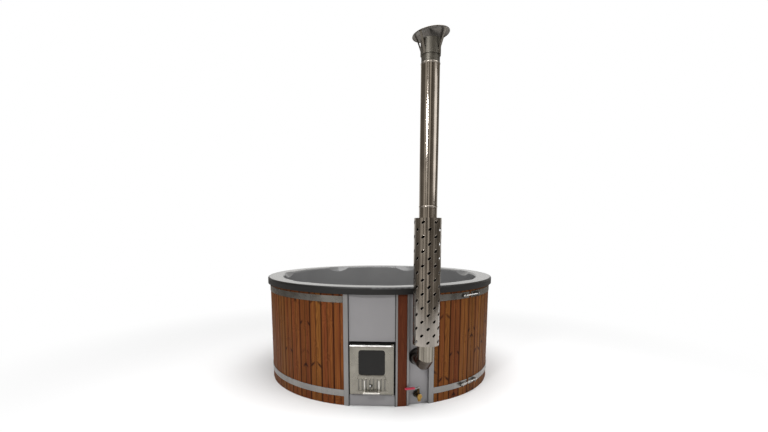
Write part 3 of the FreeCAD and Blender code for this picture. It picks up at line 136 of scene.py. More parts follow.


# Moulded tub: one glass-fibre moulding with a glossy grey gel coat, hung by its rim on the skirt.
# The outer lip of the rim is painted near black: painted shade and painted reflection of the dark ground
# below it.

def gel_coat():
    # Gel coat: a hard glossy resin skin, even in colour, with the faint orange peel that a mould leaves.
    # The lip is duller, and painted near black as painted shade and reflection.
    peel = 0.004
    lip_start, lip_end = 0.986, 0.992
    gloss, lip_gloss = 0.22, 0.5
    finish, add, place = start_finish("grey_gel_coat")
    level = add("VectorMath", {0: place, 1: (1, 1, 0)}, operation="MULTIPLY")
    radius = add("VectorMath", {0: level}, operation="LENGTH").outputs["Value"]
    painted_lip_shade = add("MapRange", {"Value": radius, **span(lip_start, lip_end)})
    clouds = add("TexNoise", {"Vector": place, "Scale": 5.0, "Detail": 2.0})
    grey = add("MixRGB", {0: clouds, 1: "#686868", 2: "#717171"})
    # The lip mask paints the outer lip near black: painted shade and painted reflection of the dark ground.
    tone = add("MixRGB", {0: painted_lip_shade, 1: grey, 2: "#0f0e0e"})
    orange_peel = add("TexNoise", {"Vector": place, "Scale": 1 / peel, "Detail": 1.0})
    bump = add("Bump", {"Height": orange_peel, "Strength": 0.01, "Distance": 0.001})
    rough = add("MapRange", {"Value": painted_lip_shade, "To Min": gloss, "To Max": lip_gloss})
    return end_finish(finish, {
        "Base Color": tone, "Normal": bump, "Roughness": rough, "IOR": 1.52, "Specular IOR Level": 0.4})


dress(gel_coat(), "inner_shell")


# Foam round the seat backs: cut yellow insulation, closed in between the tub and the skirt.
# It is only seen where the skirt is taken off.

# Polyurethane foam: dull and cream coloured, with open cells about 3 mm across.
foam = mottled("cut_foam", per_metre=1 / 0.003, tones=("#cdbf90", "#e6dbb4"), roughness=0.95, cells=True,
               relief=(0.5, 0.001))
dress(foam, "wall_insulation")


# Timber skirt: heat-treated pine boards stood round the tub, each with bevelled edges and a groove
# down its middle. They are nailed to the ring battens and drawn together by the hoops.

SKIRT_FACE = 0.979
BOARD_WALL = 0.020
BOARD_BEVEL = 0.003
BOARD_SOFT = 0.0005
BOARD_GAP = 0.0004
BOARD_COUNT = 53
CLOSING_ARC = 4.5
DOOR_BAY_HALF = 0.168
FLUE_BAY_HALF = 0.080
FLUE_BAY_BEARING = 20.45
POST_WALL = 0.002
POST_CLEARANCE = 0.0005
LEFT_LAP = 0.016
SHARP_EDGE = math.radians(35)
board_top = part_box("staves_right")[1].z
flue_bay_reach = FLUE_BAY_HALF + POST_WALL + POST_CLEARANCE
closing_start = FLUE_BAY_BEARING + math.degrees(math.atan(flue_bay_reach / (SKIRT_FACE - BOARD_WALL)))
skirt_start = closing_start + CLOSING_ARC
skirt_end = 360 - math.degrees(math.atan((DOOR_BAY_HALF + LEFT_LAP) / SKIRT_FACE))
board_pitch = (skirt_end - skirt_start) / BOARD_COUNT


def skin(made, loops, closed=False):
    """Join loops of points into one skin: closed into a ring, or with a face on each end."""
    rows = [[made.verts.new(point) for point in loop] for loop in loops]
    following = rows[1:] + rows[:1] if closed else rows[1:]
    for low, high in zip(rows, following):
        for i in range(len(low)):
            j = (i + 1) % len(low)
            made.faces.new((low[i], low[j], high[j], high[i]))
    if not closed:
        made.faces.new(rows[0])
        made.faces.new(rows[-1])


def to_mesh(name, made):
    """Turn drawn faces into a mesh with its faces outward."""
    bmesh.ops.recalc_face_normals(made, faces=made.faces)
    mesh = bpy.data.meshes.new(name)
    made.to_mesh(mesh)
    made.free()
    return mesh


def board_mesh(name, arc, groove=0.0016):
    """One board that fills an arc of the skirt, standing at the front of the tub with softened edges."""
    half = math.tan(math.radians(arc / 2))
    back = SKIRT_FACE - BOARD_WALL
    outer = SKIRT_FACE * half - BOARD_GAP / 2
    shoulder = (SKIRT_FACE - BOARD_BEVEL) * half - BOARD_GAP / 2
    inner = back * half - BOARD_GAP / 2
    section = [
        (-inner, -back),
        (-shoulder, BOARD_BEVEL - SKIRT_FACE),
        (BOARD_BEVEL - outer, -SKIRT_FACE),
        (-groove, -SKIRT_FACE),
        (0, groove - SKIRT_FACE),
        (groove, -SKIRT_FACE),
        (outer - BOARD_BEVEL, -SKIRT_FACE),
        (shoulder, BOARD_BEVEL - SKIRT_FACE),
        (inner, -back),
    ]
    made = bmesh.new()
    skin(made, [[(x, y, height) for x, y in section] for height in (0, board_top)])
    bmesh.ops.recalc_face_normals(made, faces=made.faces)
    bmesh.ops.bevel(made, geom=made.edges[:], offset=BOARD_SOFT, segments=2, affect="EDGES", profile=0.5)
    mesh = to_mesh(name, made)
    edge = mesh.attributes.new("edge", "FLOAT", "POINT")
    for vertex in mesh.vertices:
        edge.data[vertex.index].value = outer - abs(vertex.co.x)
    return mesh


def pattern_tree():
    """Geometry nodes that set copies of a piece out in columns and rows, turned about an upright axis."""
    tree = bpy.data.node_groups.new("columns_and_rows", "GeometryNodeTree")
    tree.interface.new_socket("Piece", in_out="INPUT", socket_type="NodeSocketGeometry")
    kinds = {"columns": "Int", "rows": "Int", "seed": "Int", "axis": "Vector", "first_turn": "Float",
             "turn": "Float", "step": "Float", "rise": "Float", "stagger": "Float", "finish": "Material"}
    sizes = {}
    for name, kind in kinds.items():
        socket = tree.interface.new_socket(name, in_out="INPUT", socket_type="NodeSocket" + kind)
        sizes[name] = socket.identifier
        if kind == "Int":
            socket.default_value = 1
    tree.interface.new_socket("Pattern", in_out="OUTPUT", socket_type="NodeSocketGeometry")
    add = partial(add_node, tree)
    given = add("NodeGroupInput").outputs
    position = add("GeometryNodeInputPosition")
    grain = add("GeometryNodeStoreNamedAttribute", {
        "Geometry": given["Piece"], "Name": "grain", "Value": position},
        data_type="FLOAT_VECTOR", domain="POINT")

    # Every copy has a number, which gives its column and its row.
    count = add("Math", {0: given["columns"], 1: given["rows"]}, operation="MULTIPLY")
    index = add("GeometryNodeInputIndex")
    share = add("Math", {0: index, 1: given["rows"]}, operation="DIVIDE")
    column = add("Math", {0: share}, operation="FLOOR")
    row = add("Math", {0: index, 1: given["rows"]}, operation="MODULO")
    odd = add("Math", {0: column, 1: 2.0}, operation="MODULO")
    lifted = add("Math", {0: odd, 1: given["stagger"], 2: row}, operation="MULTIPLY_ADD")
    height = add("Math", {0: lifted, 1: given["rise"]}, operation="MULTIPLY")
    across = add("Math", {0: column, 1: given["step"]}, operation="MULTIPLY")
    bearing = add("Math", {0: column, 1: given["turn"], 2: given["first_turn"]}, operation="MULTIPLY_ADD")
    offset = add("CombineXYZ", {"X": across, "Z": height})
    place = add("VectorMath", {0: given["axis"], 1: offset}, operation="ADD")
    points = add("GeometryNodePoints", {"Count": count, "Position": place})
    turn = add("CombineXYZ", {"Z": bearing})
    copies = add("GeometryNodeInstanceOnPoints", {"Points": points, "Instance": grain, "Rotation": turn})

    # Each copy also keeps a chance value of its own, which the wood takes its tone from.
    chance = add("FunctionNodeRandomValue", {2: 0.0, 3: 1.0, "ID": index, "Seed": given["seed"]},
                 data_type="FLOAT")
    toned = add("GeometryNodeStoreNamedAttribute", {
        "Geometry": copies, "Name": "board", "Value": chance.outputs[1]},
        data_type="FLOAT", domain="INSTANCE")
    real = add("GeometryNodeRealizeInstances", {"Geometry": toned})
    coated = add("GeometryNodeSetMaterial", {"Geometry": real, "Material": given["finish"]})
    add("NodeGroupOutput", {"Pattern": coated})
    return tree, sizes


pattern, pattern_sizes = pattern_tree()
scene = bpy.context.scene


def finished(name, mesh, body, replaced=()):
    """Smooth a mesh up to its sharp edges, and hand it over as a piece on a body."""
    mesh.shade_smooth()
    mesh.set_sharp_from_angle(angle=SHARP_EDGE)
    item = bpy.data.objects.new(name, mesh)
    scene.collection.objects.link(item)
    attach(item, body)
    if replaced:
        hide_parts(*replaced)
    return item


def evaluated(start):
    """The mesh that an object comes to, once the object itself is taken away."""
    scene.collection.objects.link(start)
    graph = bpy.context.evaluated_depsgraph_get()
    mesh = bpy.data.meshes.new_from_object(
        start.evaluated_get(graph), preserve_all_data_layers=True, depsgraph=graph)
    bpy.data.objects.remove(start)
    return mesh


def set_out(name, mesh, body, slot, replaced=(), **sizes):
    """Set copies of a mesh out with the tree, and keep the result as one finished piece on a body."""
    start = bpy.data.objects.new(name + "_start", mesh)
    modifier = start.modifiers.new("set_out", "NODES")
    modifier.node_group = pattern
    for key, value in sizes.items():
        modifier[pattern_sizes[key]] = value
    return finished(name, evaluated(start), body, replaced)


def thermowood(name, yellow, red, dark, joint_shade, middle):
    # Heat-treated pine: brown right through, with flat-sawn growth rings and a few knots.
    # Real rings are 3 to 5 mm apart; they are drawn 9 mm apart so that they show.
    ring_gap = 0.009
    knot_gap = (0.40, 0.14)
    knot_share = (0.25, 0.6)
    knot_eye = (0.03, 0.13)
    swirl_reach, swirl_push = (0.03, 0.42), 0.026
    pith_depth = 0.085
    pith_wander = (0.14, 0.12, 0)
    wanders_per_metre = (2.5, 2.5, 1.1)
    fibres_per_metre = (150, 150, 4)
    stripe = 0.026
    board_shift = (0.31, 0.0, 7.3)
    board_light = (0.82, 1.16)
    board_hue = (0.494, 0.507)
    finish, add, grain = start_finish(name, "grain")
    board = add("Attribute", attribute_name="board").outputs["Fac"]
    shift = add("VectorMath", {0: board_shift, "Scale": board}, operation="SCALE")
    to_face = add("VectorMath", {0: grain, 1: (0, SKIRT_FACE, 0)}, operation="ADD")
    spot = add("VectorMath", {0: to_face, 1: shift}, operation="ADD")

    # A whorl of branches is cut on both sides of the pith, so knots come in pairs that slant away from
    # the middle of the board. They lie far apart, and each is a dark eye that pushes the rings aside.
    across = add("SeparateXYZ", {"Vector": grain}).outputs["X"]
    off_middle = add("Math", {0: across}, operation="ABSOLUTE")
    height = add("SeparateXYZ", {"Vector": spot}).outputs["Z"]
    down = add("Math", {0: off_middle, 1: height}, operation="SUBTRACT")
    up = add("Math", {0: off_middle, 1: height}, operation="ADD")
    slanted = add("CombineXYZ", {"X": down, "Y": up})
    knot_place = add("VectorMath", {0: slanted, 1: (1 / knot_gap[0], 1 / knot_gap[1], 0)},
                     operation="MULTIPLY")
    knots = add("TexVoronoi", {"Vector": knot_place, "Scale": 1.0, "Randomness": 1.0},
                voronoi_dimensions="2D")
    chance = add("SeparateColor", {"Color": knots.outputs["Color"]}).outputs["Red"]
    present = add("MapRange", {"Value": chance, **span(*knot_share)})
    eye = add("MapRange", {"Value": knots, **span(*knot_eye, present, 0.0)})
    swirl = add("MapRange", {"Value": knots, **span(*swirl_reach, swirl_push, 0.0)},
                interpolation_type="SMOOTHSTEP")

    # Rings run round a wandering pith behind the board, so the face shows stripes and arches.
    wander_place = add("VectorMath", {0: spot, 1: wanders_per_metre}, operation="MULTIPLY")
    wander = add("TexNoise", {"Vector": wander_place, "Scale": 1.0, "Detail": 2.0}).outputs["Color"]
    off_pith = add("VectorMath", {0: to_face, 1: (1, 1, 0)}, operation="MULTIPLY")
    pith_shift = add("VectorMath", {0: wander, 1: pith_wander, 2: (-pith_wander[0] / 2, -pith_depth, 0)},
                     operation="MULTIPLY_ADD")
    from_pith = add("VectorMath", {0: off_pith, 1: pith_shift}, operation="ADD")
    radius = add("VectorMath", {0: from_pith}, operation="LENGTH").outputs["Value"]
    pushed = add("Math", {0: radius, 1: swirl}, operation="ADD")
    phase = add("Math", {0: pushed, 1: 2 * math.pi / ring_gap}, operation="MULTIPLY")
    wave = add("Math", {0: phase}, operation="SINE")

    # Fine fibres along the board break up the rings.
    fibre_place = add("VectorMath", {0: spot, 1: fibres_per_metre}, operation="MULTIPLY")
    fibres = add("TexNoise", {"Vector": fibre_place, "Scale": 1.0, "Detail": 5.0})
    blend = add("Math", {0: wave, 1: 0.16, 2: -0.19}, operation="MULTIPLY_ADD")
    grain_mix = add("Math", {0: fibres, 1: 1.25, 2: blend}, operation="MULTIPLY_ADD", use_clamp=True)

    # Yellower and redder stripes follow the whole length of a board, and each board has a tone of its own.
    stripe_place = add("VectorMath", {0: spot, 1: (1 / stripe, 1 / stripe, 0.6)}, operation="MULTIPLY")
    stripes = add("TexNoise", {"Vector": stripe_place, "Scale": 1.0, "Detail": 1.0})
    stripe_mix = add("MapRange", {"Value": stripes, **span(0.36, 0.64)})
    pale = add("MixRGB", {0: stripe_mix, 1: yellow, 2: red})
    face = add("MixRGB", {0: grain_mix, 1: pale, 2: dark})
    knotted = add("MixRGB", {0: eye, 1: face, 2: "#2c150b"})
    value = add("MapRange", {"Value": board, **span(0.0, 1.0, *board_light)})
    batch = add("Math", {0: board, 1: 40.0}, operation="MULTIPLY")
    drift = add("Math", {0: batch}, operation="SINE")
    hue = add("MapRange", {"Value": drift, **span(-1.0, 1.0, *board_hue)})
    toned = add("HueSaturation", {"Color": knotted, "Value": value, "Hue": hue})

    # Painted shade: the groove, the bevelled joints and the face beside them are darkened towards the joint
    # shade colour.
    depth = add("SeparateXYZ", {"Vector": to_face}).outputs["Y"]
    groove = add("MapRange", {"Value": depth, **span(0.0002, 0.0022, 0.0, 0.8)})
    edge = add("Attribute", attribute_name="edge").outputs["Fac"]
    edge_shade = add("MapRange", {"Value": edge, **span(0.003, 0.011, 0.72, 0.0)},
                 interpolation_type="SMOOTHSTEP")
    # middle sets how strongly painted shade darkens the face beside the middle groove.
    groove_side_shade = add("MapRange", {"Value": off_middle, **span(0.0012, 0.007, middle, 0.0)},
                 interpolation_type="SMOOTHSTEP")
    edges = add("Math", {0: groove_side_shade, 1: edge_shade}, operation="MAXIMUM")
    joint_shade_mask = add("Math", {0: groove, 1: edges}, operation="MAXIMUM")
    with_joint_shade = add("MixRGB", {0: joint_shade_mask, 1: toned, 2: joint_shade})
    bump = add("Bump", {"Height": grain_mix, "Strength": 0.35, "Distance": 0.0012})
    sheen = add("MapRange", {"Value": grain_mix, "To Min": 0.5, "To Max": 0.66})
    return end_finish(finish, {
        "Base Color": with_joint_shade, "Normal": bump, "Roughness": sheen, "Specular IOR Level": 0.06})


brown_pine = thermowood("oiled_thermowood", yellow="#8a5727", red="#7c4423", dark="#4a260f", joint_shade="#241008",
                        middle=0.55)
set_out("skirt_boards", board_mesh("skirt_board", board_pitch), "tub", "thermowood",
        ("staves_right_front", "staves_right", "staves_right_back", "staves_left_back", "staves_left",
         "staves_left_front"),
        finish=brown_pine, columns=BOARD_COUNT, first_turn=math.radians(skirt_start + board_pitch / 2),
        turn=math.radians(board_pitch), seed=4)
set_out("closing_board", board_mesh("closing_board", CLOSING_ARC), "tub", "thermowood", ("closing_stave",),
        finish=brown_pine, first_turn=math.radians(closing_start + CLOSING_ARC / 2), seed=9)


# Slat between the two bays: one board of a redder, darker batch, its edges under the posts' flanges.
# It has hardly any groove, and it stops under the rim like the rest.

SLAT_WIDTH = 0.086
slat_arc = 2 * math.degrees(math.atan((SLAT_WIDTH + BOARD_GAP) / 2 / SKIRT_FACE))
door_post_edge = math.degrees(math.atan((DOOR_BAY_HALF + POST_WALL) / SKIRT_FACE))
flue_post_edge = FLUE_BAY_BEARING - math.degrees(math.atan((FLUE_BAY_HALF + POST_WALL) / SKIRT_FACE))
red_pine = thermowood("red_thermowood", yellow="#623820", red="#5b301d", dark="#452314", joint_shade="#1c0c06",
                      middle=0.0)
set_out("slat", board_mesh("slat", slat_arc, groove=0.0003), "tub", "thermowood", ("slat_board",),
        finish=red_pine, first_turn=math.radians((door_post_edge + flue_post_edge) / 2), seed=3)


# Hoops: flat bands of stainless strip bent round the skirt, with welded lugs and a long draw bolt.
# Pulling the bolt up closes the joints between the boards.

def steel(name, colour, roughness, grain, turn=(0, 0, 0), streak=0.10, anisotropy=0.5, darkened=None):
    # Stainless steel: grey with a warm cast. Rolling and brushing leave long fine lines in one direction,
    # given by their length and width, which are drawn wider than the real 0.1 mm so that they show.
    # Within a reach of a flue's axis and below a height it is painted near black: painted shade inside the
    # heat guard.
    length, width = grain
    finish, add, place = start_finish(name)
    along = add("Mapping", {"Vector": place, "Rotation": turn, "Scale": (1 / width, 1 / width, 1 / length)})
    lines = add("TexNoise", {"Vector": along, "Scale": 1.0, "Detail": 3.0})
    patches = add("TexNoise", {"Vector": place, "Scale": 9.0, "Detail": 2.0})
    bright = add("MapRange", {"Value": lines, **span(0.25, 0.75, 1 - streak, 1 + streak)})
    worn = add("MapRange", {"Value": patches, **span(0.3, 0.7, 0.85, 1.15)})
    value = add("Math", {0: bright, 1: worn}, operation="MULTIPLY")
    tone = add("HueSaturation", {"Color": colour, "Value": value})
    if darkened:
        axis, reach, top = darkened
        aside = add("VectorMath", {0: place, 1: axis}, operation="SUBTRACT")
        level = add("VectorMath", {0: aside, 1: (1, 1, 0)}, operation="MULTIPLY")
        radius = add("VectorMath", {0: level}, operation="LENGTH").outputs["Value"]
        close = add("MapRange", {"Value": radius, **span(reach, reach + 0.0003, 0.95, 0.0)})
        height = add("SeparateXYZ", {"Vector": place}).outputs["Z"]
        below = add("MapRange", {"Value": height, **span(top - 0.015, top, 1.0, 0.0)})
        black = add("Math", {0: close, 1: below}, operation="MULTIPLY")
        tone = add("MixRGB", {0: black, 1: tone, 2: "#141210"})
    rough = add("MapRange", {"Value": patches, **span(0.3, 0.7, roughness * 0.8, roughness * 1.25)})
    bump = add("Bump", {"Height": lines, "Strength": 0.05, "Distance": 0.0005})
    return end_finish(finish, {
        "Base Color": tone, "Normal": bump, "Roughness": rough, "Metallic": 1.0, "Anisotropic": anisotropy})


band_steel = steel("rolled_band_steel", "#8b8986", roughness=0.26, grain=(0.25, 0.004),
                   turn=(math.pi / 2, 0, 0))
bright_steel = steel("bright_fixings_steel", "#b4b3b0", roughness=0.28, grain=(0.03, 0.002))
dress(band_steel, "upper_hoop", "lower_hoop", "hoop_lugs")
dress(bright_steel, "water_pipes")

CLAMP_BEARING = 48.5
BOLT_DISTANCE = 0.99866
BOLT_HALF = 0.107
BOLT_RADIUS = 0.005
BOLT_SIDES = 10
THREAD_RISE = 0.0025
THREAD_DEPTH = 0.0006
NUT_RADIUS = 0.0098
NUT_HEIGHT = 0.008
NUT_PLACE = 0.0875


def circle(radius, height, segments):
    """A loop of points round the upright axis."""
    turns = [2 * math.pi * step / segments for step in range(segments)]
    return [Vector((radius * math.cos(turn), radius * math.sin(turn), height)) for turn in turns]


def lathe(made, profile, place, segments=32, closed=False):
    """A solid turned from a profile of radius and height, with flat ends or closed into a ring."""
    skin(made, [[place @ point for point in circle(radius, height, segments)] for radius, height in profile],
         closed)


def hex_nut(made, radius, bottom, height, place, soft=0.0012):
    """A six-sided nut with chamfered ends."""
    top = bottom + height
    profile = ((radius - soft, bottom), (radius, bottom + soft), (radius, top - soft), (radius - soft, top))
    lathe(made, profile, place, segments=6)


def piece(name, made, finish, body, replaced=()):
    """Hand drawn faces over as a piece of one finish on a body."""
    mesh = to_mesh(name, made)
    mesh.materials.append(finish)
    return finished(name, mesh, body, replaced)


bolts = bmesh.new()
lying = Matrix.Rotation(math.pi / 2, 4, "Y")
for low, high in (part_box("lower_hoop"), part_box("upper_hoop")):
    lay_down = (Matrix.Rotation(math.radians(CLAMP_BEARING), 4, "Z")
                @ Matrix.Translation((0, -BOLT_DISTANCE, (low.z + high.z) / 2)) @ lying)
    threads = round(2 * BOLT_HALF / THREAD_RISE)
    crests = []
    for step in range(threads + 1):
        crests.append((BOLT_RADIUS - THREAD_DEPTH, step * THREAD_RISE - BOLT_HALF))
        crests.append((BOLT_RADIUS, (step + 0.5) * THREAD_RISE - BOLT_HALF))
    lathe(bolts, crests[:-1], lay_down, BOLT_SIDES)
    hex_nut(bolts, NUT_RADIUS, NUT_PLACE, NUT_HEIGHT, lay_down)
    hex_nut(bolts, NUT_RADIUS, -NUT_PLACE - NUT_HEIGHT, NUT_HEIGHT, lay_down)
piece("draw_bolts_threaded", bolts, bright_steel, "tub", ("draw_bolts",))


# Posts: strips of sheet aluminium folded to cover the cut ends of the boards beside each bay.
# Each has a lip inside the bay, which holds the panels. Beside the door, black strips on the folds
# and on the lips are painted shade for the shadow gap round the door.

def anodised_aluminium():
    # Anodised aluminium: satin grey, finely drawn along its length, with soft patches of wear.
    draw_line = 0.003
    finish, add, place = start_finish("anodised_aluminium")
    drawn = add("Mapping", {"Vector": place, "Scale": (1 / draw_line, 1 / draw_line, 3)})
    lines = add("TexNoise", {"Vector": drawn, "Scale": 1.0, "Detail": 2.0})
    patches = add("TexNoise", {"Vector": place, "Scale": 6.0, "Detail": 3.0})
    tone = add("MixRGB", {0: patches, 1: "#848383", 2: "#8f8e8d"})
    rough = add("MapRange", {"Value": lines, "To Min": 0.36, "To Max": 0.5})
    return end_finish(finish, {"Base Color": tone, "Roughness": rough, "Metallic": 0.7})


def soft_box(made, low, high, soft, place=Matrix()):
    """A block between two corners, with rounded edges."""
    middle = (Vector(low) + Vector(high)) / 2
    sides = Vector(high) - Vector(low)
    block = bmesh.ops.create_cube(
        made, size=1.0, matrix=place @ Matrix.Translation(middle) @ Matrix.Diagonal((*sides, 1)))
    edges = {edge for vertex in block["verts"] for edge in vertex.link_edges}
    bmesh.ops.bevel(made, geom=list(edges), offset=soft, segments=3, affect="EDGES", profile=0.5)


# Painted shade: black and dull, with a fine bloom of about 2 mm, for the strips put where shade falls round
# the door.
shade_black = mottled("painted_shade_black", per_metre=1 / 0.002, tones=("#131313", "#1f1f1f"), roughness=0.8,
                       shine={"Specular IOR Level": 0.2})
dress(anodised_aluminium(), "left_post", "door_post", "flue_post", "right_post")

POST_STRIP_FACE = (0.1672, 0.1722)
POST_STRIP_DEPTH = (-0.9692, -0.9650)
POST_STRIP_SOFT = 0.001
LIP_STRIP_FACE = (0.1612, 0.1676)
LIP_STRIP_DEPTH = (-0.9575, -0.9562)
LIP_STRIP_SOFT = 0.0003
post_low, post_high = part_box("left_post")
# Black strips on the folds and lips beside the door are painted shade for the shadow gap round it.
shade_strips = bmesh.new()
for side in (-1, 1):
    for face, depth, bottom, top, soft in (
        (POST_STRIP_FACE, POST_STRIP_DEPTH, post_low.z, post_high.z, POST_STRIP_SOFT),
        (LIP_STRIP_FACE, LIP_STRIP_DEPTH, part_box("lower_panel")[1].z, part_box("upper_panel")[0].z, LIP_STRIP_SOFT),
    ):
        near, far = sorted(side * reach for reach in face)
        soft_box(shade_strips, (near, depth[0], bottom), (far, depth[1], top), soft)
piece("bay_shade_strips", shade_strips, shade_black, "tub")


# Panels: powder-coated steel sheets above and below the stove door and behind the flue.
# They stand behind the posts' faces and are held by the posts' lips.

def powder_coat():
    # Powder coat: satin grey paint with a fine even stipple about 2 mm across and a little dust.
    stipple = 0.002
    finish, add, place = start_finish("grey_powder_coat")
    dust = add("TexNoise", {"Vector": place, "Scale": 4.0, "Detail": 4.0})
    tone = add("MixRGB", {0: dust, 1: "#838182", 2: "#8d8b8c"})
    grit = add("TexNoise", {"Vector": place, "Scale": 1 / stipple, "Detail": 1.0})
    bump = add("Bump", {"Height": grit, "Strength": 0.08, "Distance": 0.001})
    return end_finish(finish, {"Base Color": tone, "Normal": bump, "Roughness": 0.42})


dress(powder_coat(), "upper_panel", "lower_panel", "flue_panel")


# Stove under the bench: a water jacket of aluminium sheet round a welded steel firebox, on four legs.
# A cast grate lies on the firebox's ledges over a sheet ash tray.

# Firebox steel: dark mill scale with grey soot in clouds, rough all over.
soot_black = mottled("sooty_steel", per_metre=14.0, tones=("#1c1b1a", "#3b3835"), roughness=(0.55, 0.9),
                     detail=5.0, shine={"Metallic": 0.4})
# Cast iron: near black, with the pebbled skin of a sand mould about 2 mm across.
iron = mottled("cast_iron", per_metre=1 / 0.002, tones=("#191919", "#2b2a29"), roughness=0.7,
               relief=(0.4, 0.001), shine={"Metallic": 0.5})
# Aluminium sheet for the jacket: its rolled lines are those of the steel, but greyer and duller.
jacket_sheet = steel("jacket_sheet", "#8f9092", roughness=0.42, grain=(0.2, 0.006))
dress(jacket_sheet, "stove_jacket", "stove_legs")
dress(soot_black, "firebox", "ash_tray", "door_frame", "glass_retainer", "flue_collar")
dress(iron, "fire_grate")


# Stove door: a pan folded from brushed stainless sheet, with a smoked window held by a retainer,
# a slotted air slide in guides behind a row of vents, a welded handle, and a pin hinge on the right.
# Its top edge is a polished fold, with a black strip behind it as painted shade for the dark gap above the
# door.

# Glass-fibre rope: charcoal, with a braid of about 3 mm.
rope = mottled("glass_fibre_rope", per_metre=1 / 0.003, tones=("#2a2a2b", "#4a4a4b"), roughness=0.9,
               cells=True, relief=(0.6, 0.001))
# Smoked stove glass: dark brown glass ceramic, glossy outside, with a cloudy film of soot.
smoked_glass = mottled("smoked_stove_glass", per_metre=22.0, tones=("#12110f", "#1b1917"), roughness=0.12,
                       detail=4.0, shine={"IOR": 1.54, "Specular IOR Level": 0.2})
door_steel = steel("brushed_door_steel", "#868279", roughness=0.26, grain=(0.12, 0.003))
polished_edge = steel("polished_edge_steel", "#e2e0dc", roughness=0.34, grain=(0.05, 0.003))
dress(rope, "door_seal")
dress(smoked_glass, "door_glass")
dress(door_steel, "hinge_tabs", "slide_guides")
dress(steel("dull_slide_steel", "#75736d", roughness=0.4, grain=(0.12, 0.003)), "air_slide")
dress(bright_steel, "air_knob", "hinge_pins")
dress(steel("polished_handle_steel", "#c4c1bb", roughness=0.32, grain=(0.05, 0.003), streak=0.04),
      "door_handle")

DOOR_SHEET = 0.0025
DOOR_CORNER = 0.004
DOOR_SOFT = 0.001
WINDOW = (-0.0955, 0.246, 0.0955, 0.432)
WINDOW_ROUND = 0.020
VENT_COUNT, VENT_STEP, VENT_WIDTH = 8, 0.0272, 0.010
VENT_BOTTOM, VENT_HEIGHT, VENT_ROUND = 0.132, 0.085, 0.002
VENT_LIP = (0.0022, 0.0013)
KNOB_SLOT = (-0.0138, 0.1662, 0.0074, 0.1738)
KNOB_SLOT_ROUND = 0.003
WELD_REACH = 0.00001
door_low, door_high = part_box("stove_door")


def rounded(left, bottom, right, top, corner, grow=0.0, steps=6):
    """A loop round a rectangle with round corners, grown outward by a margin."""
    radius = max(corner + grow, 0.0001)
    loop = []
    for quarter, (x, z) in enumerate(((right, top), (left, top), (left, bottom), (right, bottom))):
        middle_x = x - math.copysign(corner, x - (left + right) / 2)
        middle_z = z - math.copysign(corner, z - (bottom + top) / 2)
        for step in range(steps + 1):
            turn = math.pi / 2 * (quarter + step / steps)
            loop.append((middle_x + radius * math.cos(turn), middle_z + radius * math.sin(turn)))
    return loop


def cut_sheet(name, loops, wall, soft, place):
    """A flat sheet cut out along loops, with softened edges, set in its place."""
    curve = bpy.data.curves.new(name, "CURVE")
    curve.dimensions = "2D"
    curve.fill_mode = "BOTH"
    curve.extrude = wall / 2 - soft
    curve.bevel_depth = soft
    curve.bevel_resolution = 1
    for loop in loops:
        line = curve.splines.new("POLY")
        line.points.add(len(loop) - 1)
        for point, (x, z) in zip(line.points, loop):
            point.co = (x, z, 0, 1)
        line.use_cyclic_u = True
    flat = evaluated(bpy.data.objects.new(name, curve))
    flat.transform(place)
    sheet = bmesh.new()
    sheet.from_mesh(flat)
    bmesh.ops.remove_doubles(sheet, verts=sheet.verts, dist=WELD_REACH)
    return sheet


def bar_along_door(section):
    """A bar of one section of depth and height, as long as the door is wide."""
    made = bmesh.new()
    skin(made, [[(x, y, z) for y, z in section] for x in (door_low.x, door_high.x)])
    return made


FOLD_HEIGHT = 0.009
FOLD_DEPTH = 0.013
FOLD_WALL = 0.0008
FOLD_LIP = 0.001
FOLD_SHARE = 0.7
TOP_STRIP_WALL = 0.0012
fold_bottom = door_high.z - FOLD_HEIGHT
fold_back = door_low.y + FOLD_DEPTH
door_edges = (door_low.x, door_low.z, door_high.x, fold_bottom)
vents = []
for i in range(VENT_COUNT):
    vent_left = VENT_STEP * (i - (VENT_COUNT - 1) / 2) - VENT_WIDTH / 2
    vents.append((vent_left, VENT_BOTTOM, vent_left + VENT_WIDTH, VENT_BOTTOM + VENT_HEIGHT))
cuts = [rounded(*door_edges, DOOR_CORNER, -DOOR_SOFT), rounded(*WINDOW, WINDOW_ROUND, DOOR_SOFT)]
cuts += [rounded(*vent, VENT_ROUND, DOOR_SOFT) for vent in vents]
cuts += [rounded(*KNOB_SLOT, KNOB_SLOT_ROUND, DOOR_SOFT)]
upright = Matrix.Translation((0, door_low.y + DOOR_SHEET / 2, 0)) @ Matrix.Rotation(math.pi / 2, 4, "X")
pan = cut_sheet("door_face", cuts, DOOR_SHEET, DOOR_SOFT, upright)
stations = ((door_low.y + DOOR_SOFT, fold_bottom), (fold_back, door_high.z), (door_high.y, door_high.z))
side_loops = []
for inset, order in ((0, stations), (DOOR_SHEET, stations[::-1])):
    for depth, top in order:
        edges = (door_low.x + inset, door_low.z + inset, door_high.x - inset, top - inset)
        side_loops.append([(x, depth, z) for x, z in rounded(*edges, DOOR_CORNER - inset)])
skin(pan, side_loops, closed=True)
bmesh.ops.remove_doubles(pan, verts=pan.verts, dist=WELD_REACH)
piece("door_pan", pan, door_steel, "door", ("stove_door",))

strip_back = door_low.y + FOLD_DEPTH * FOLD_SHARE
strip_top = fold_bottom + FOLD_HEIGHT * FOLD_SHARE
fold = bar_along_door((
    (door_low.y - FOLD_WALL, fold_bottom - FOLD_LIP), (door_low.y - FOLD_WALL, fold_bottom),
    (strip_back, strip_top + FOLD_WALL), (strip_back, strip_top),
    (door_low.y, fold_bottom), (door_low.y, fold_bottom - FOLD_LIP)))
piece("door_top_fold", fold, polished_edge, "door")
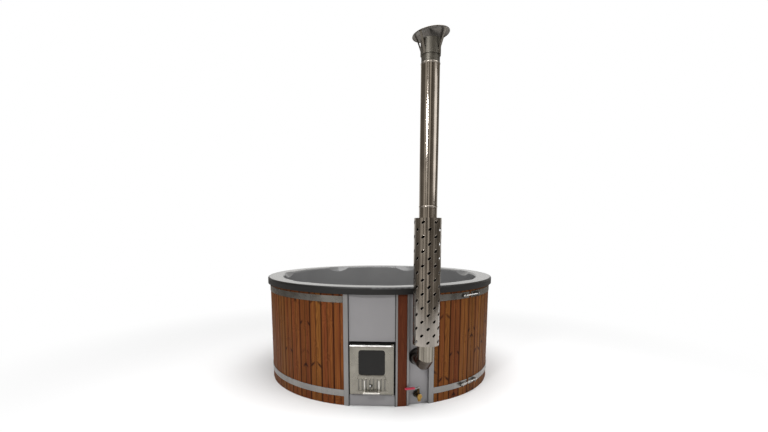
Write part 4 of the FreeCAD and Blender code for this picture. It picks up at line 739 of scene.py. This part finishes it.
# A black strip over the door's top behind the fold is painted shade for the dark gap above it.
top_shade_strip = bar_along_door((
    (strip_back, strip_top), (strip_back, strip_top + TOP_STRIP_WALL),
    (fold_back, door_high.z + TOP_STRIP_WALL), (door_high.y, door_high.z + TOP_STRIP_WALL),
    (door_high.y, door_high.z), (fold_back, door_high.z)))
piece("door_top_shade_strip", top_shade_strip, shade_black, "door")

vent_lip = bmesh.new()
lip_width, lip_height = VENT_LIP
lip_profile = (
    (0, -DOOR_SOFT), (0, lip_height), (lip_width, lip_height / 2), (lip_width * 1.5, -DOOR_SOFT / 2))
skin(vent_lip, [[(x, door_low.y - rise, z) for x, z in rounded(*vents[0], VENT_ROUND, grow, steps=2)]
                for grow, rise in lip_profile], closed=True)
set_out("vent_lips", to_mesh("vent_lip", vent_lip), "door", "door_steel", finish=door_steel,
        columns=VENT_COUNT, step=VENT_STEP)


# Flue: polished stainless pipe in two lengths on a mitred elbow, with a neck and a wider sleeve on top.
# A stub welded to the firebox's duct goes into the elbow through the panel.

ELBOW_CUT = 0.038
MITRE_LEAN = math.radians(22.5)
guard_low, guard_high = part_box("heat_guard")
guard_radius = (guard_high.x - guard_low.x) / 2
pipe_low, pipe_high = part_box("upper_flue_pipe")
flue_axis = (pipe_low + pipe_high) / 2
flue_radius = (pipe_high.x - pipe_low.x) / 2
flue_bay = Matrix.Rotation(math.radians(FLUE_BAY_BEARING), 4, "Z")
mitre_place = Vector((flue_axis.x, flue_axis.y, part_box("flue_elbow")[0].z + flue_radius + ELBOW_CUT))
mitre_up = flue_bay @ Vector((0, -math.sin(MITRE_LEAN), math.cos(MITRE_LEAN)))


def heat_tint_and_dark_reflection():
    # Heat-tinted steel: polished above the elbow's mitre with upright streaks about 20 mm apart,
    # and below it dark with a brown bloom: partly heat tint, partly painted reflection of the dark ground.
    bloom = 0.02
    streak = 0.02
    weld = (-0.001, 0.003)
    finish, add, place = start_finish("heat_tint_and_dark_reflection_steel")
    cloud = add("TexNoise", {"Vector": place, "Scale": 1 / bloom, "Detail": 3.0})
    from_mitre = add("VectorMath", {0: place, 1: mitre_place}, operation="SUBTRACT")
    over = add("VectorMath", {0: from_mitre, 1: mitre_up}, operation="DOT_PRODUCT").outputs["Value"]
    above_mitre = add("MapRange", {"Value": over, **span(*weld)})
    # Below the mitre the tone is dark brown: partly heat tint, partly painted reflection of the dark ground.
    darkened = add("MixRGB", {0: cloud, 1: "#332d27", 2: "#6b6056"})
    drawn = add("Mapping", {"Vector": place, "Scale": (1 / streak, 1 / streak, 1.5)})
    lines = add("TexNoise", {"Vector": drawn, "Scale": 1.0, "Detail": 2.0})
    contrast = add("MapRange", {"Value": lines, **span(0.35, 0.65)})
    polish = add("MixRGB", {0: contrast, 1: "#5f5950", 2: "#a59e92"})
    tone = add("MixRGB", {0: above_mitre, 1: darkened, 2: polish})
    rough = add("MapRange", {"Value": cloud, "To Min": 0.12, "To Max": 0.28})
    return end_finish(finish, {"Base Color": tone, "Roughness": rough, "Metallic": 1.0})


pipe_look = {"colour": "#a39b92", "roughness": 0.12, "grain": (0.6, 0.010), "streak": 0.16, "anisotropy": 0.0}
flue_steel = steel("polished_flue_steel", **pipe_look)
# The lower pipe and spacers inside the guard are painted near black there: painted shade.
guard_shaded_steel = steel("guard_shaded_flue_steel", **pipe_look, darkened=(flue_axis, guard_radius - 0.002, guard_high.z))
neck_steel = steel("dull_neck_steel", "#6d6a63", roughness=0.45, grain=(0.3, 0.010), anisotropy=0.0)
dress(flue_steel, "upper_flue_pipe")
dress(neck_steel, "top_flue_pipe")
dress(guard_shaded_steel, "lower_flue_pipe", "guard_spacers")
dress(heat_tint_and_dark_reflection(), "flue_stub", "flue_elbow")

BEAD_HALF = 0.005
BEAD_RISE = 0.0022
BEAD_ROOT = 0.0004
bead_profile = (
    (flue_radius - BEAD_ROOT, -BEAD_HALF),
    (flue_radius + BEAD_RISE * 0.7, -BEAD_HALF * 0.6),
    (flue_radius + BEAD_RISE, 0),
    (flue_radius + BEAD_RISE * 0.7, BEAD_HALF * 0.6),
    (flue_radius - BEAD_ROOT, BEAD_HALF),
)
beads = bmesh.new()
for pipe_end in (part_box("lower_flue_pipe")[1].z, pipe_high.z):
    on_pipe = Matrix.Translation((flue_axis.x, flue_axis.y, pipe_end + BEAD_HALF))
    lathe(beads, bead_profile, on_pipe, segments=64, closed=True)
piece("flue_beads", beads, flue_steel, "tub")


# Heat guard: a slotted sleeve of polished sheet round the lower pipe, on radial spacers.
# Each slot was pressed from inside, so it has a raised lip.

GUARD_COLUMNS, GUARD_ROWS = 13, 9
GUARD_SEAM = 6.4
GUARD_BEARING = 5.8
SLOT_RISE = 0.0943
SLOT_HALF_WIDTH, SLOT_HALF_LENGTH = 0.0075, 0.0135
SLOT_ROUND = 0.0074
SLOT_SLANT = math.radians(45)
SLOT_LIP = (0.0012, 0.0006)
# Its inside face is painted near black below the top: painted shade inside the guard.
guard_steel = steel("polished_guard_steel", "#9a938b", roughness=0.14, grain=(0.9, 0.012), streak=0.18,
                    anisotropy=0.0, darkened=(flue_axis, guard_radius - 0.0006, guard_high.z - 0.02))
dress(guard_steel, "heat_guard")
first_slot = guard_low.z + (guard_high.z - guard_low.z - (GUARD_ROWS - 0.5) * SLOT_RISE) / 2
column_turn = (360 - GUARD_SEAM) / GUARD_COLUMNS


def on_guard(across, up, lift):
    """A point near the front of the guard, given along and across the slanted slot."""
    x = across * math.cos(SLOT_SLANT) + up * math.sin(SLOT_SLANT)
    z = up * math.cos(SLOT_SLANT) - across * math.sin(SLOT_SLANT)
    turn = x / guard_radius
    return ((guard_radius + lift) * math.sin(turn), -(guard_radius + lift) * math.cos(turn), z)


slot_lip = bmesh.new()
slot = (-SLOT_HALF_WIDTH, -SLOT_HALF_LENGTH, SLOT_HALF_WIDTH, SLOT_HALF_LENGTH)
lip_width, lip_height = SLOT_LIP
lip_profile = ((0, -0.001), (0, lip_height), (lip_width, lip_height / 2), (lip_width * 1.5, -0.0004))
skin(slot_lip, [[on_guard(x, z, lift) for x, z in rounded(*slot, SLOT_ROUND, grow, steps=3)]
                for grow, lift in lip_profile], closed=True)
set_out("slot_lips", to_mesh("slot_lip", slot_lip), "tub", "flue_steel", finish=guard_steel,
        columns=GUARD_COLUMNS, rows=GUARD_ROWS, axis=(flue_axis.x, flue_axis.y, first_slot),
        first_turn=math.radians(GUARD_BEARING - column_turn * (GUARD_COLUMNS - 1) / 2),
        turn=math.radians(column_turn), rise=SLOT_RISE, stagger=0.5)


# Rain cap: a shallow cone of sheet with a rolled rim, on four straps fixed to the sleeve.
# It leans a little, as it does in the photograph.

CAP_TILT = math.radians(8)
CAP_HEIGHT = 2.488
CAP_RADIUS = 0.118
CAP_BEAD = 0.0025
CAP_BEAD_SIDES = 8
cap_steel = steel("weathered_cap_steel", "#6f6a64", roughness=0.3, grain=(0.05, 0.004))
dress(cap_steel, "rain_cap")
dress(steel("bright_strap_steel", "#aaa69f", roughness=0.25, grain=(0.05, 0.004)), "cap_legs")
cap_lean = Matrix.Translation((flue_axis.x, flue_axis.y, CAP_HEIGHT)) @ Matrix.Rotation(-CAP_TILT, 4, "Y")
rim_profile = [(CAP_RADIUS - CAP_BEAD + point.x, point.y) for point in circle(CAP_BEAD, 0, CAP_BEAD_SIDES)]
cap_rim = bmesh.new()
lathe(cap_rim, rim_profile, cap_lean, segments=72, closed=True)
piece("cap_rim", cap_rim, cap_steel, "tub")


# Drain: a black plastic outlet in the floor, a pipe under the stove, a lock nut on the panel,
# and a brass ball valve with a red lever.

# Glass-filled nylon: black, satin, with a fine moulded stipple of 1 mm.
nylon = mottled("black_nylon", per_metre=1 / 0.001, tones=("#161616", "#222222"), roughness=0.5, detail=1.0,
                relief=(0.15, 0.0005))
# Forged brass: yellow metal, blasted to a satin skin, browner where it has been handled.
brass_look = {"per_metre": 60.0, "roughness": (0.25, 0.5), "detail": 4.0, "shine": {"Metallic": 1.0}}
brass = mottled("forged_brass", tones=("#c2a05a", "#8a6a38"), **brass_look)
# The valve body's brass is painted dark brown: painted reflection of the dark surroundings in its shiny skin.
brass_dark_reflection = mottled("brass_dark_reflection", tones=("#5d4d33", "#30271b"), **brass_look)
# Dipped vinyl: a thick red skin, slightly glossy and uneven where it ran.
red_vinyl = mottled("red_dipped_vinyl", per_metre=90.0, tones=("#a51f38", "#b8304a"), roughness=0.35,
                    relief=(0.2, 0.001))
dress(nylon, "drain_fitting", "drain_pipe")
dress(brass, "valve_ball")

DRAIN_SHIFT = -0.012
DRAIN_HEIGHT = 0.084
PANEL_FACE = 0.958
LOCK_NUT_RADIUS, LOCK_NUT_WALL = 0.027, 0.009
GRIPS, GRIP_STEPS, GRIP_DEPTH = 8, 8, 0.0014
VALVE_LENGTH = 0.066
VALVE_HEX, VALVE_HEX_LENGTH = 0.0205, 0.014
BALL_CHAMBER = (
    (0.015, 0.022), (0.017, 0.026), (0.0195, 0.034), (0.0195, 0.052), (0.017, 0.060), (0.015, 0.062))
STEM_DISTANCE = 1.001
NECK_TOP, NECK_WIDE, NECK_NARROW = 0.139, 0.010, 0.008
PACKING_NUT, PACKING_NUT_HEIGHT, PACKING_NUT_DROP = 0.0105, 0.010, 0.012
UNION_HEX, UNION_START = 0.0195, 0.061
SPOUT_DISTANCE, SPOUT_RADIUS = 1.020, 0.015
TAIL_BOTTOM, TAIL_TOP = 0.048, 0.064
TAIL_BORE, TAIL_RADIUS, BARB_RADIUS = 0.009, 0.0112, 0.0126
BARB_COUNT, BARB_STEP = 3, 0.005


def in_bay(distance, height=0.0):
    """The drain's place in the flue bay, at a distance from the tub's axis."""
    return flue_bay @ Matrix.Translation((DRAIN_SHIFT, -distance, height))


def lobed(radius, height):
    """A loop round the upright axis with finger grips."""
    loop = []
    for step, point in enumerate(circle(radius, height, GRIPS * GRIP_STEPS)):
        grip = 1 + GRIP_DEPTH / radius * math.cos(2 * math.pi * step / GRIP_STEPS)
        loop.append(Vector((point.x * grip, point.y * grip, height)))
    return loop


along_drain = in_bay(PANEL_FACE, DRAIN_HEIGHT) @ Matrix.Rotation(math.pi / 2, 4, "X")
stem = in_bay(STEM_DISTANCE)
spout = in_bay(SPOUT_DISTANCE)

nut = bmesh.new()
nut_profile = (
    (LOCK_NUT_RADIUS - 0.001, 0), (LOCK_NUT_RADIUS, 0.001), (LOCK_NUT_RADIUS, LOCK_NUT_WALL - 0.002),
    (LOCK_NUT_RADIUS - 0.002, LOCK_NUT_WALL))
skin(nut, [[along_drain @ point for point in lobed(radius, height)] for radius, height in nut_profile])
piece("lock_nut_lobed", nut, nylon, "tub", ("lock_nut",))

valve = bmesh.new()
hex_nut(valve, VALVE_HEX, LOCK_NUT_WALL, VALVE_HEX_LENGTH, along_drain)
lathe(valve, BALL_CHAMBER, along_drain)
lathe(valve, ((NECK_WIDE, DRAIN_HEIGHT), (NECK_WIDE, NECK_TOP - 0.014), (NECK_NARROW, NECK_TOP - 0.012),
              (NECK_NARROW, NECK_TOP)), stem)
hex_nut(valve, PACKING_NUT, NECK_TOP - PACKING_NUT_DROP, PACKING_NUT_HEIGHT, stem)
piece("valve_body_forged", valve, brass_dark_reflection, "tub", ("valve_body",))

union = bmesh.new()
hex_nut(union, UNION_HEX, UNION_START, VALVE_LENGTH + LOCK_NUT_WALL - UNION_START, along_drain)
tail_root = TAIL_TOP + 0.001
lathe(union, ((SPOUT_RADIUS - 0.0002, TAIL_TOP), (SPOUT_RADIUS, tail_root), (SPOUT_RADIUS, DRAIN_HEIGHT)),
      spout)
barbs = [(TAIL_BORE, TAIL_BOTTOM), (TAIL_RADIUS, TAIL_BOTTOM)]
for step in range(BARB_COUNT):
    barb_bottom = TAIL_BOTTOM + BARB_STEP * step
    barbs += [(BARB_RADIUS, barb_bottom + 0.004), (TAIL_RADIUS, barb_bottom + 0.0045)]
barbs += [(TAIL_RADIUS, tail_root), (TAIL_BORE, tail_root)]
lathe(union, barbs, spout, segments=24, closed=True)
piece("hose_union", union, brass, "tub")

LEVER_BOTTOM, LEVER_TOP = 0.1393, 0.1433
LEVER_REACH = 0.104
LEVER_HALF = 0.0085
LEVER_SOFT = 0.0012
LEVER_NUT, LEVER_NUT_HEIGHT = 0.0080, 0.006
SLEEVE_START = 0.030
SLEEVE_OVERLAP = 0.02
SLEEVE_SKIN = 0.0028
bar = bmesh.new()
soft_box(bar, (-SLEEVE_START - SLEEVE_OVERLAP, -LEVER_HALF, LEVER_BOTTOM),
         (LEVER_HALF, LEVER_HALF, LEVER_TOP), LEVER_SOFT, stem)
piece("lever_bar", bar, bright_steel, "drain_lever", ("valve_lever",))
sleeve = bmesh.new()
soft_box(sleeve, (-LEVER_REACH, -LEVER_HALF - SLEEVE_SKIN, LEVER_BOTTOM - SLEEVE_SKIN),
         (-SLEEVE_START, LEVER_HALF + SLEEVE_SKIN, LEVER_TOP + 2 * SLEEVE_SKIN), SLEEVE_SKIN, stem)
piece("lever_sleeve", sleeve, red_vinyl, "drain_lever")
cap_nut = bmesh.new()
hex_nut(cap_nut, LEVER_NUT, LEVER_TOP, LEVER_NUT_HEIGHT, stem)
piece("lever_nut_hex", cap_nut, bright_steel, "drain_lever", ("lever_nut",))

DRAIN_SEAT = 0.300
STRAINER_RADIUS = 0.0195
STRAINER_HEIGHT = 0.131
STRAINER_WALL, STRAINER_SOFT = 0.002, 0.0003
STRAINER_RINGS = ((0, 1), (0.008, 6), (0.0145, 12))
STRAINER_HOLE = 0.0024
strainer_cuts = [[(point.x, point.y) for point in circle(STRAINER_RADIUS, 0, 48)]]
for reach, holes_round in STRAINER_RINGS:
    for spoke in circle(reach, 0, holes_round):
        hole = circle(STRAINER_HOLE, 0, 10)
        strainer_cuts.append([(spoke.x + point.x, spoke.y + point.y) for point in hole])
strainer = cut_sheet("drain_strainer", strainer_cuts, STRAINER_WALL, STRAINER_SOFT,
                     in_bay(DRAIN_SEAT, STRAINER_HEIGHT))
piece("drain_strainer", strainer, bright_steel, "tub")


# Studio: a pale floor that fades to white, a grey wall round it that only shows in reflections,
# one broad lamp overhead, one at the front left, and a weak one at the right.

FLOOR_RADIUS = 30.0
SHADOW_ROOM = (1.6, 4.0)
WALL_RADIUS = 4.3
WALL_TOP = 6.0
WALL_STEPS = 96
WHITE = (1, 1, 1, 1)


def looked_at(add):
    """A value of 1 on rays that look at a surface: from the camera, in a reflection or through glass."""
    path = add("LightPath").outputs
    seen = add("Math", {0: path["Is Camera Ray"], 1: path["Is Glossy Ray"]}, operation="MAXIMUM")
    return add("Math", {0: seen, 1: path["Is Transmission Ray"]}, operation="MAXIMUM")


def studio_floor():
    # Matt pale floor: it keeps the shadow near the tub, and fades to white beyond it.
    finish, add, place = start_finish("pale_floor")
    distance = add("VectorMath", {0: place}, operation="LENGTH").outputs["Value"]
    far = add("MapRange", {"Value": distance, **span(*SHADOW_ROOM)}, interpolation_type="SMOOTHSTEP")
    fade = add("Math", {0: far, 1: looked_at(add)}, operation="MULTIPLY")
    matt = add("BsdfDiffuse", {"Color": "#f2f2f2"})
    white = add("Emission", {"Color": WHITE, "Strength": 1.0})
    return end_finish(finish, {0: fade, 1: matt, 2: white}, "MixShader")


def wall_cloth():
    # Grey cloths hung side by side round the studio: the steel shows them as upright streaks.
    # They are darker at both sides, and a pale screen stands behind the tub.
    finish, add, place = start_finish("studio_cloths")
    level = add("VectorMath", {0: place, 1: (1, 1, 0.02)}, operation="MULTIPLY")
    folds = add("TexNoise", {"Vector": level, "Scale": 0.9, "Detail": 3.0})
    cloth = add("MapRange", {"Value": folds, **span(0.44, 0.57)})
    tone = add("MixRGB", {0: cloth, 1: "#625b53", 2: "#efe9df"})
    parts = add("SeparateXYZ", {"Vector": place}).outputs
    off_middle = add("Math", {0: parts["X"]}, operation="ABSOLUTE")
    aside = add("MapRange", {"Value": off_middle, **span(2.15, 3.7, 0.0, 0.85)})
    shaded = add("MixRGB", {0: aside, 1: tone, 2: "#6a645c"})
    behind = add("MapRange", {"Value": parts["Y"], **span(1.2, 3.1)})
    low = add("MapRange", {"Value": parts["Z"], **span(1.9, 2.6, 1.0, 0.0)})
    raised = add("MapRange", {"Value": parts["Z"], **span(0.7, 1.0)})
    band = add("Math", {0: low, 1: raised}, operation="MULTIPLY")
    screen = add("Math", {0: behind, 1: band}, operation="MULTIPLY")
    pale = add("MixRGB", {0: screen, 1: shaded, 2: "#f4f3f0"})
    return end_finish(finish, {"Color": pale, "Strength": 1.0}, "Emission")


def staged(name, made, finish):
    """Hand drawn faces over as a stage piece of one finish."""
    mesh = bpy.data.meshes.new(name)
    made.to_mesh(mesh)
    made.free()
    mesh.materials.append(finish)
    item = bpy.data.objects.new(name, mesh)
    scene.collection.objects.link(item)
    return item


floor = bmesh.new()
bmesh.ops.create_circle(floor, cap_ends=True, segments=96, radius=FLOOR_RADIUS)
staged("floor", floor, studio_floor())

cloths = bmesh.new()
bottom_row = [cloths.verts.new(point) for point in circle(WALL_RADIUS, 0, WALL_STEPS)]
top_row = [cloths.verts.new(point) for point in circle(WALL_RADIUS, WALL_TOP, WALL_STEPS)]
for i in range(WALL_STEPS):
    j = (i + 1) % WALL_STEPS
    cloths.faces.new((bottom_row[i], bottom_row[j], top_row[j], top_row[i]))
wall = staged("wall", cloths, wall_cloth())
wall.visible_camera = False
wall.visible_shadow = False
wall.visible_diffuse = False

LAMP_TARGET = Vector((0, 0, 0.8))
for name, spot, size, power in (
    ("overhead", (0.4, -0.6, 5.2), 4.0, 230),
    ("front_left", (-1.25, -3.87, 2.7), 0.5, 50),
    ("right", (3.6, -1.9, 2.3), 2.1, 24),
):
    lamp = bpy.data.lights.new(name, "AREA")
    lamp.size = size
    lamp.energy = power
    lamp_stand = bpy.data.objects.new(name, lamp)
    lamp_stand.location = spot
    lamp_stand.rotation_euler = (LAMP_TARGET - Vector(spot)).to_track_quat("-Z", "Y").to_euler()
    scene.collection.objects.link(lamp_stand)

world = bpy.data.worlds.new("studio")
world.use_nodes = True
sky = world.node_tree
sky.nodes.clear()
add_sky = partial(add_node, sky)
fill = add_sky("Background", {"Color": WHITE, "Strength": 0.48})
white = add_sky("Background", {"Color": WHITE, "Strength": 1.0})
mixed = add_sky("MixShader", {0: looked_at(add_sky), 1: fill, 2: white})
add_sky("OutputWorld", {"Surface": mixed})
scene.world = world
scene.view_settings.view_transform = "Standard"


# Camera: stands 4 m from the tub's axis at 1.27 m, looking 8.7 degrees down. It stands 3.3 degrees
# to the right of the door, and its lens is shifted so that its middle falls where the photograph's does.

PHOTO_WIDTH, PHOTO_HEIGHT = 768, 432
FOCAL_PIXELS = 433.0
MIDDLE_PIXEL = (379.6, 297.6)
CAMERA_DISTANCE, CAMERA_HEIGHT = 3.992, 1.2728
CAMERA_BEARING, CAMERA_DROP = math.radians(3.3), math.radians(8.7)
lens = bpy.data.cameras.new("camera")
lens.sensor_width = 36.0
lens.lens = FOCAL_PIXELS / PHOTO_WIDTH * lens.sensor_width
lens.shift_x = (PHOTO_WIDTH / 2 - MIDDLE_PIXEL[0]) / PHOTO_WIDTH
lens.shift_y = (MIDDLE_PIXEL[1] - PHOTO_HEIGHT / 2) / PHOTO_WIDTH
camera = bpy.data.objects.new("camera", lens)
camera.location = (CAMERA_DISTANCE * math.sin(CAMERA_BEARING), -CAMERA_DISTANCE * math.cos(CAMERA_BEARING),
                   CAMERA_HEIGHT)
camera.rotation_euler = (math.pi / 2 - CAMERA_DROP, 0, CAMERA_BEARING)
scene.collection.objects.link(camera)
scene.camera = camera
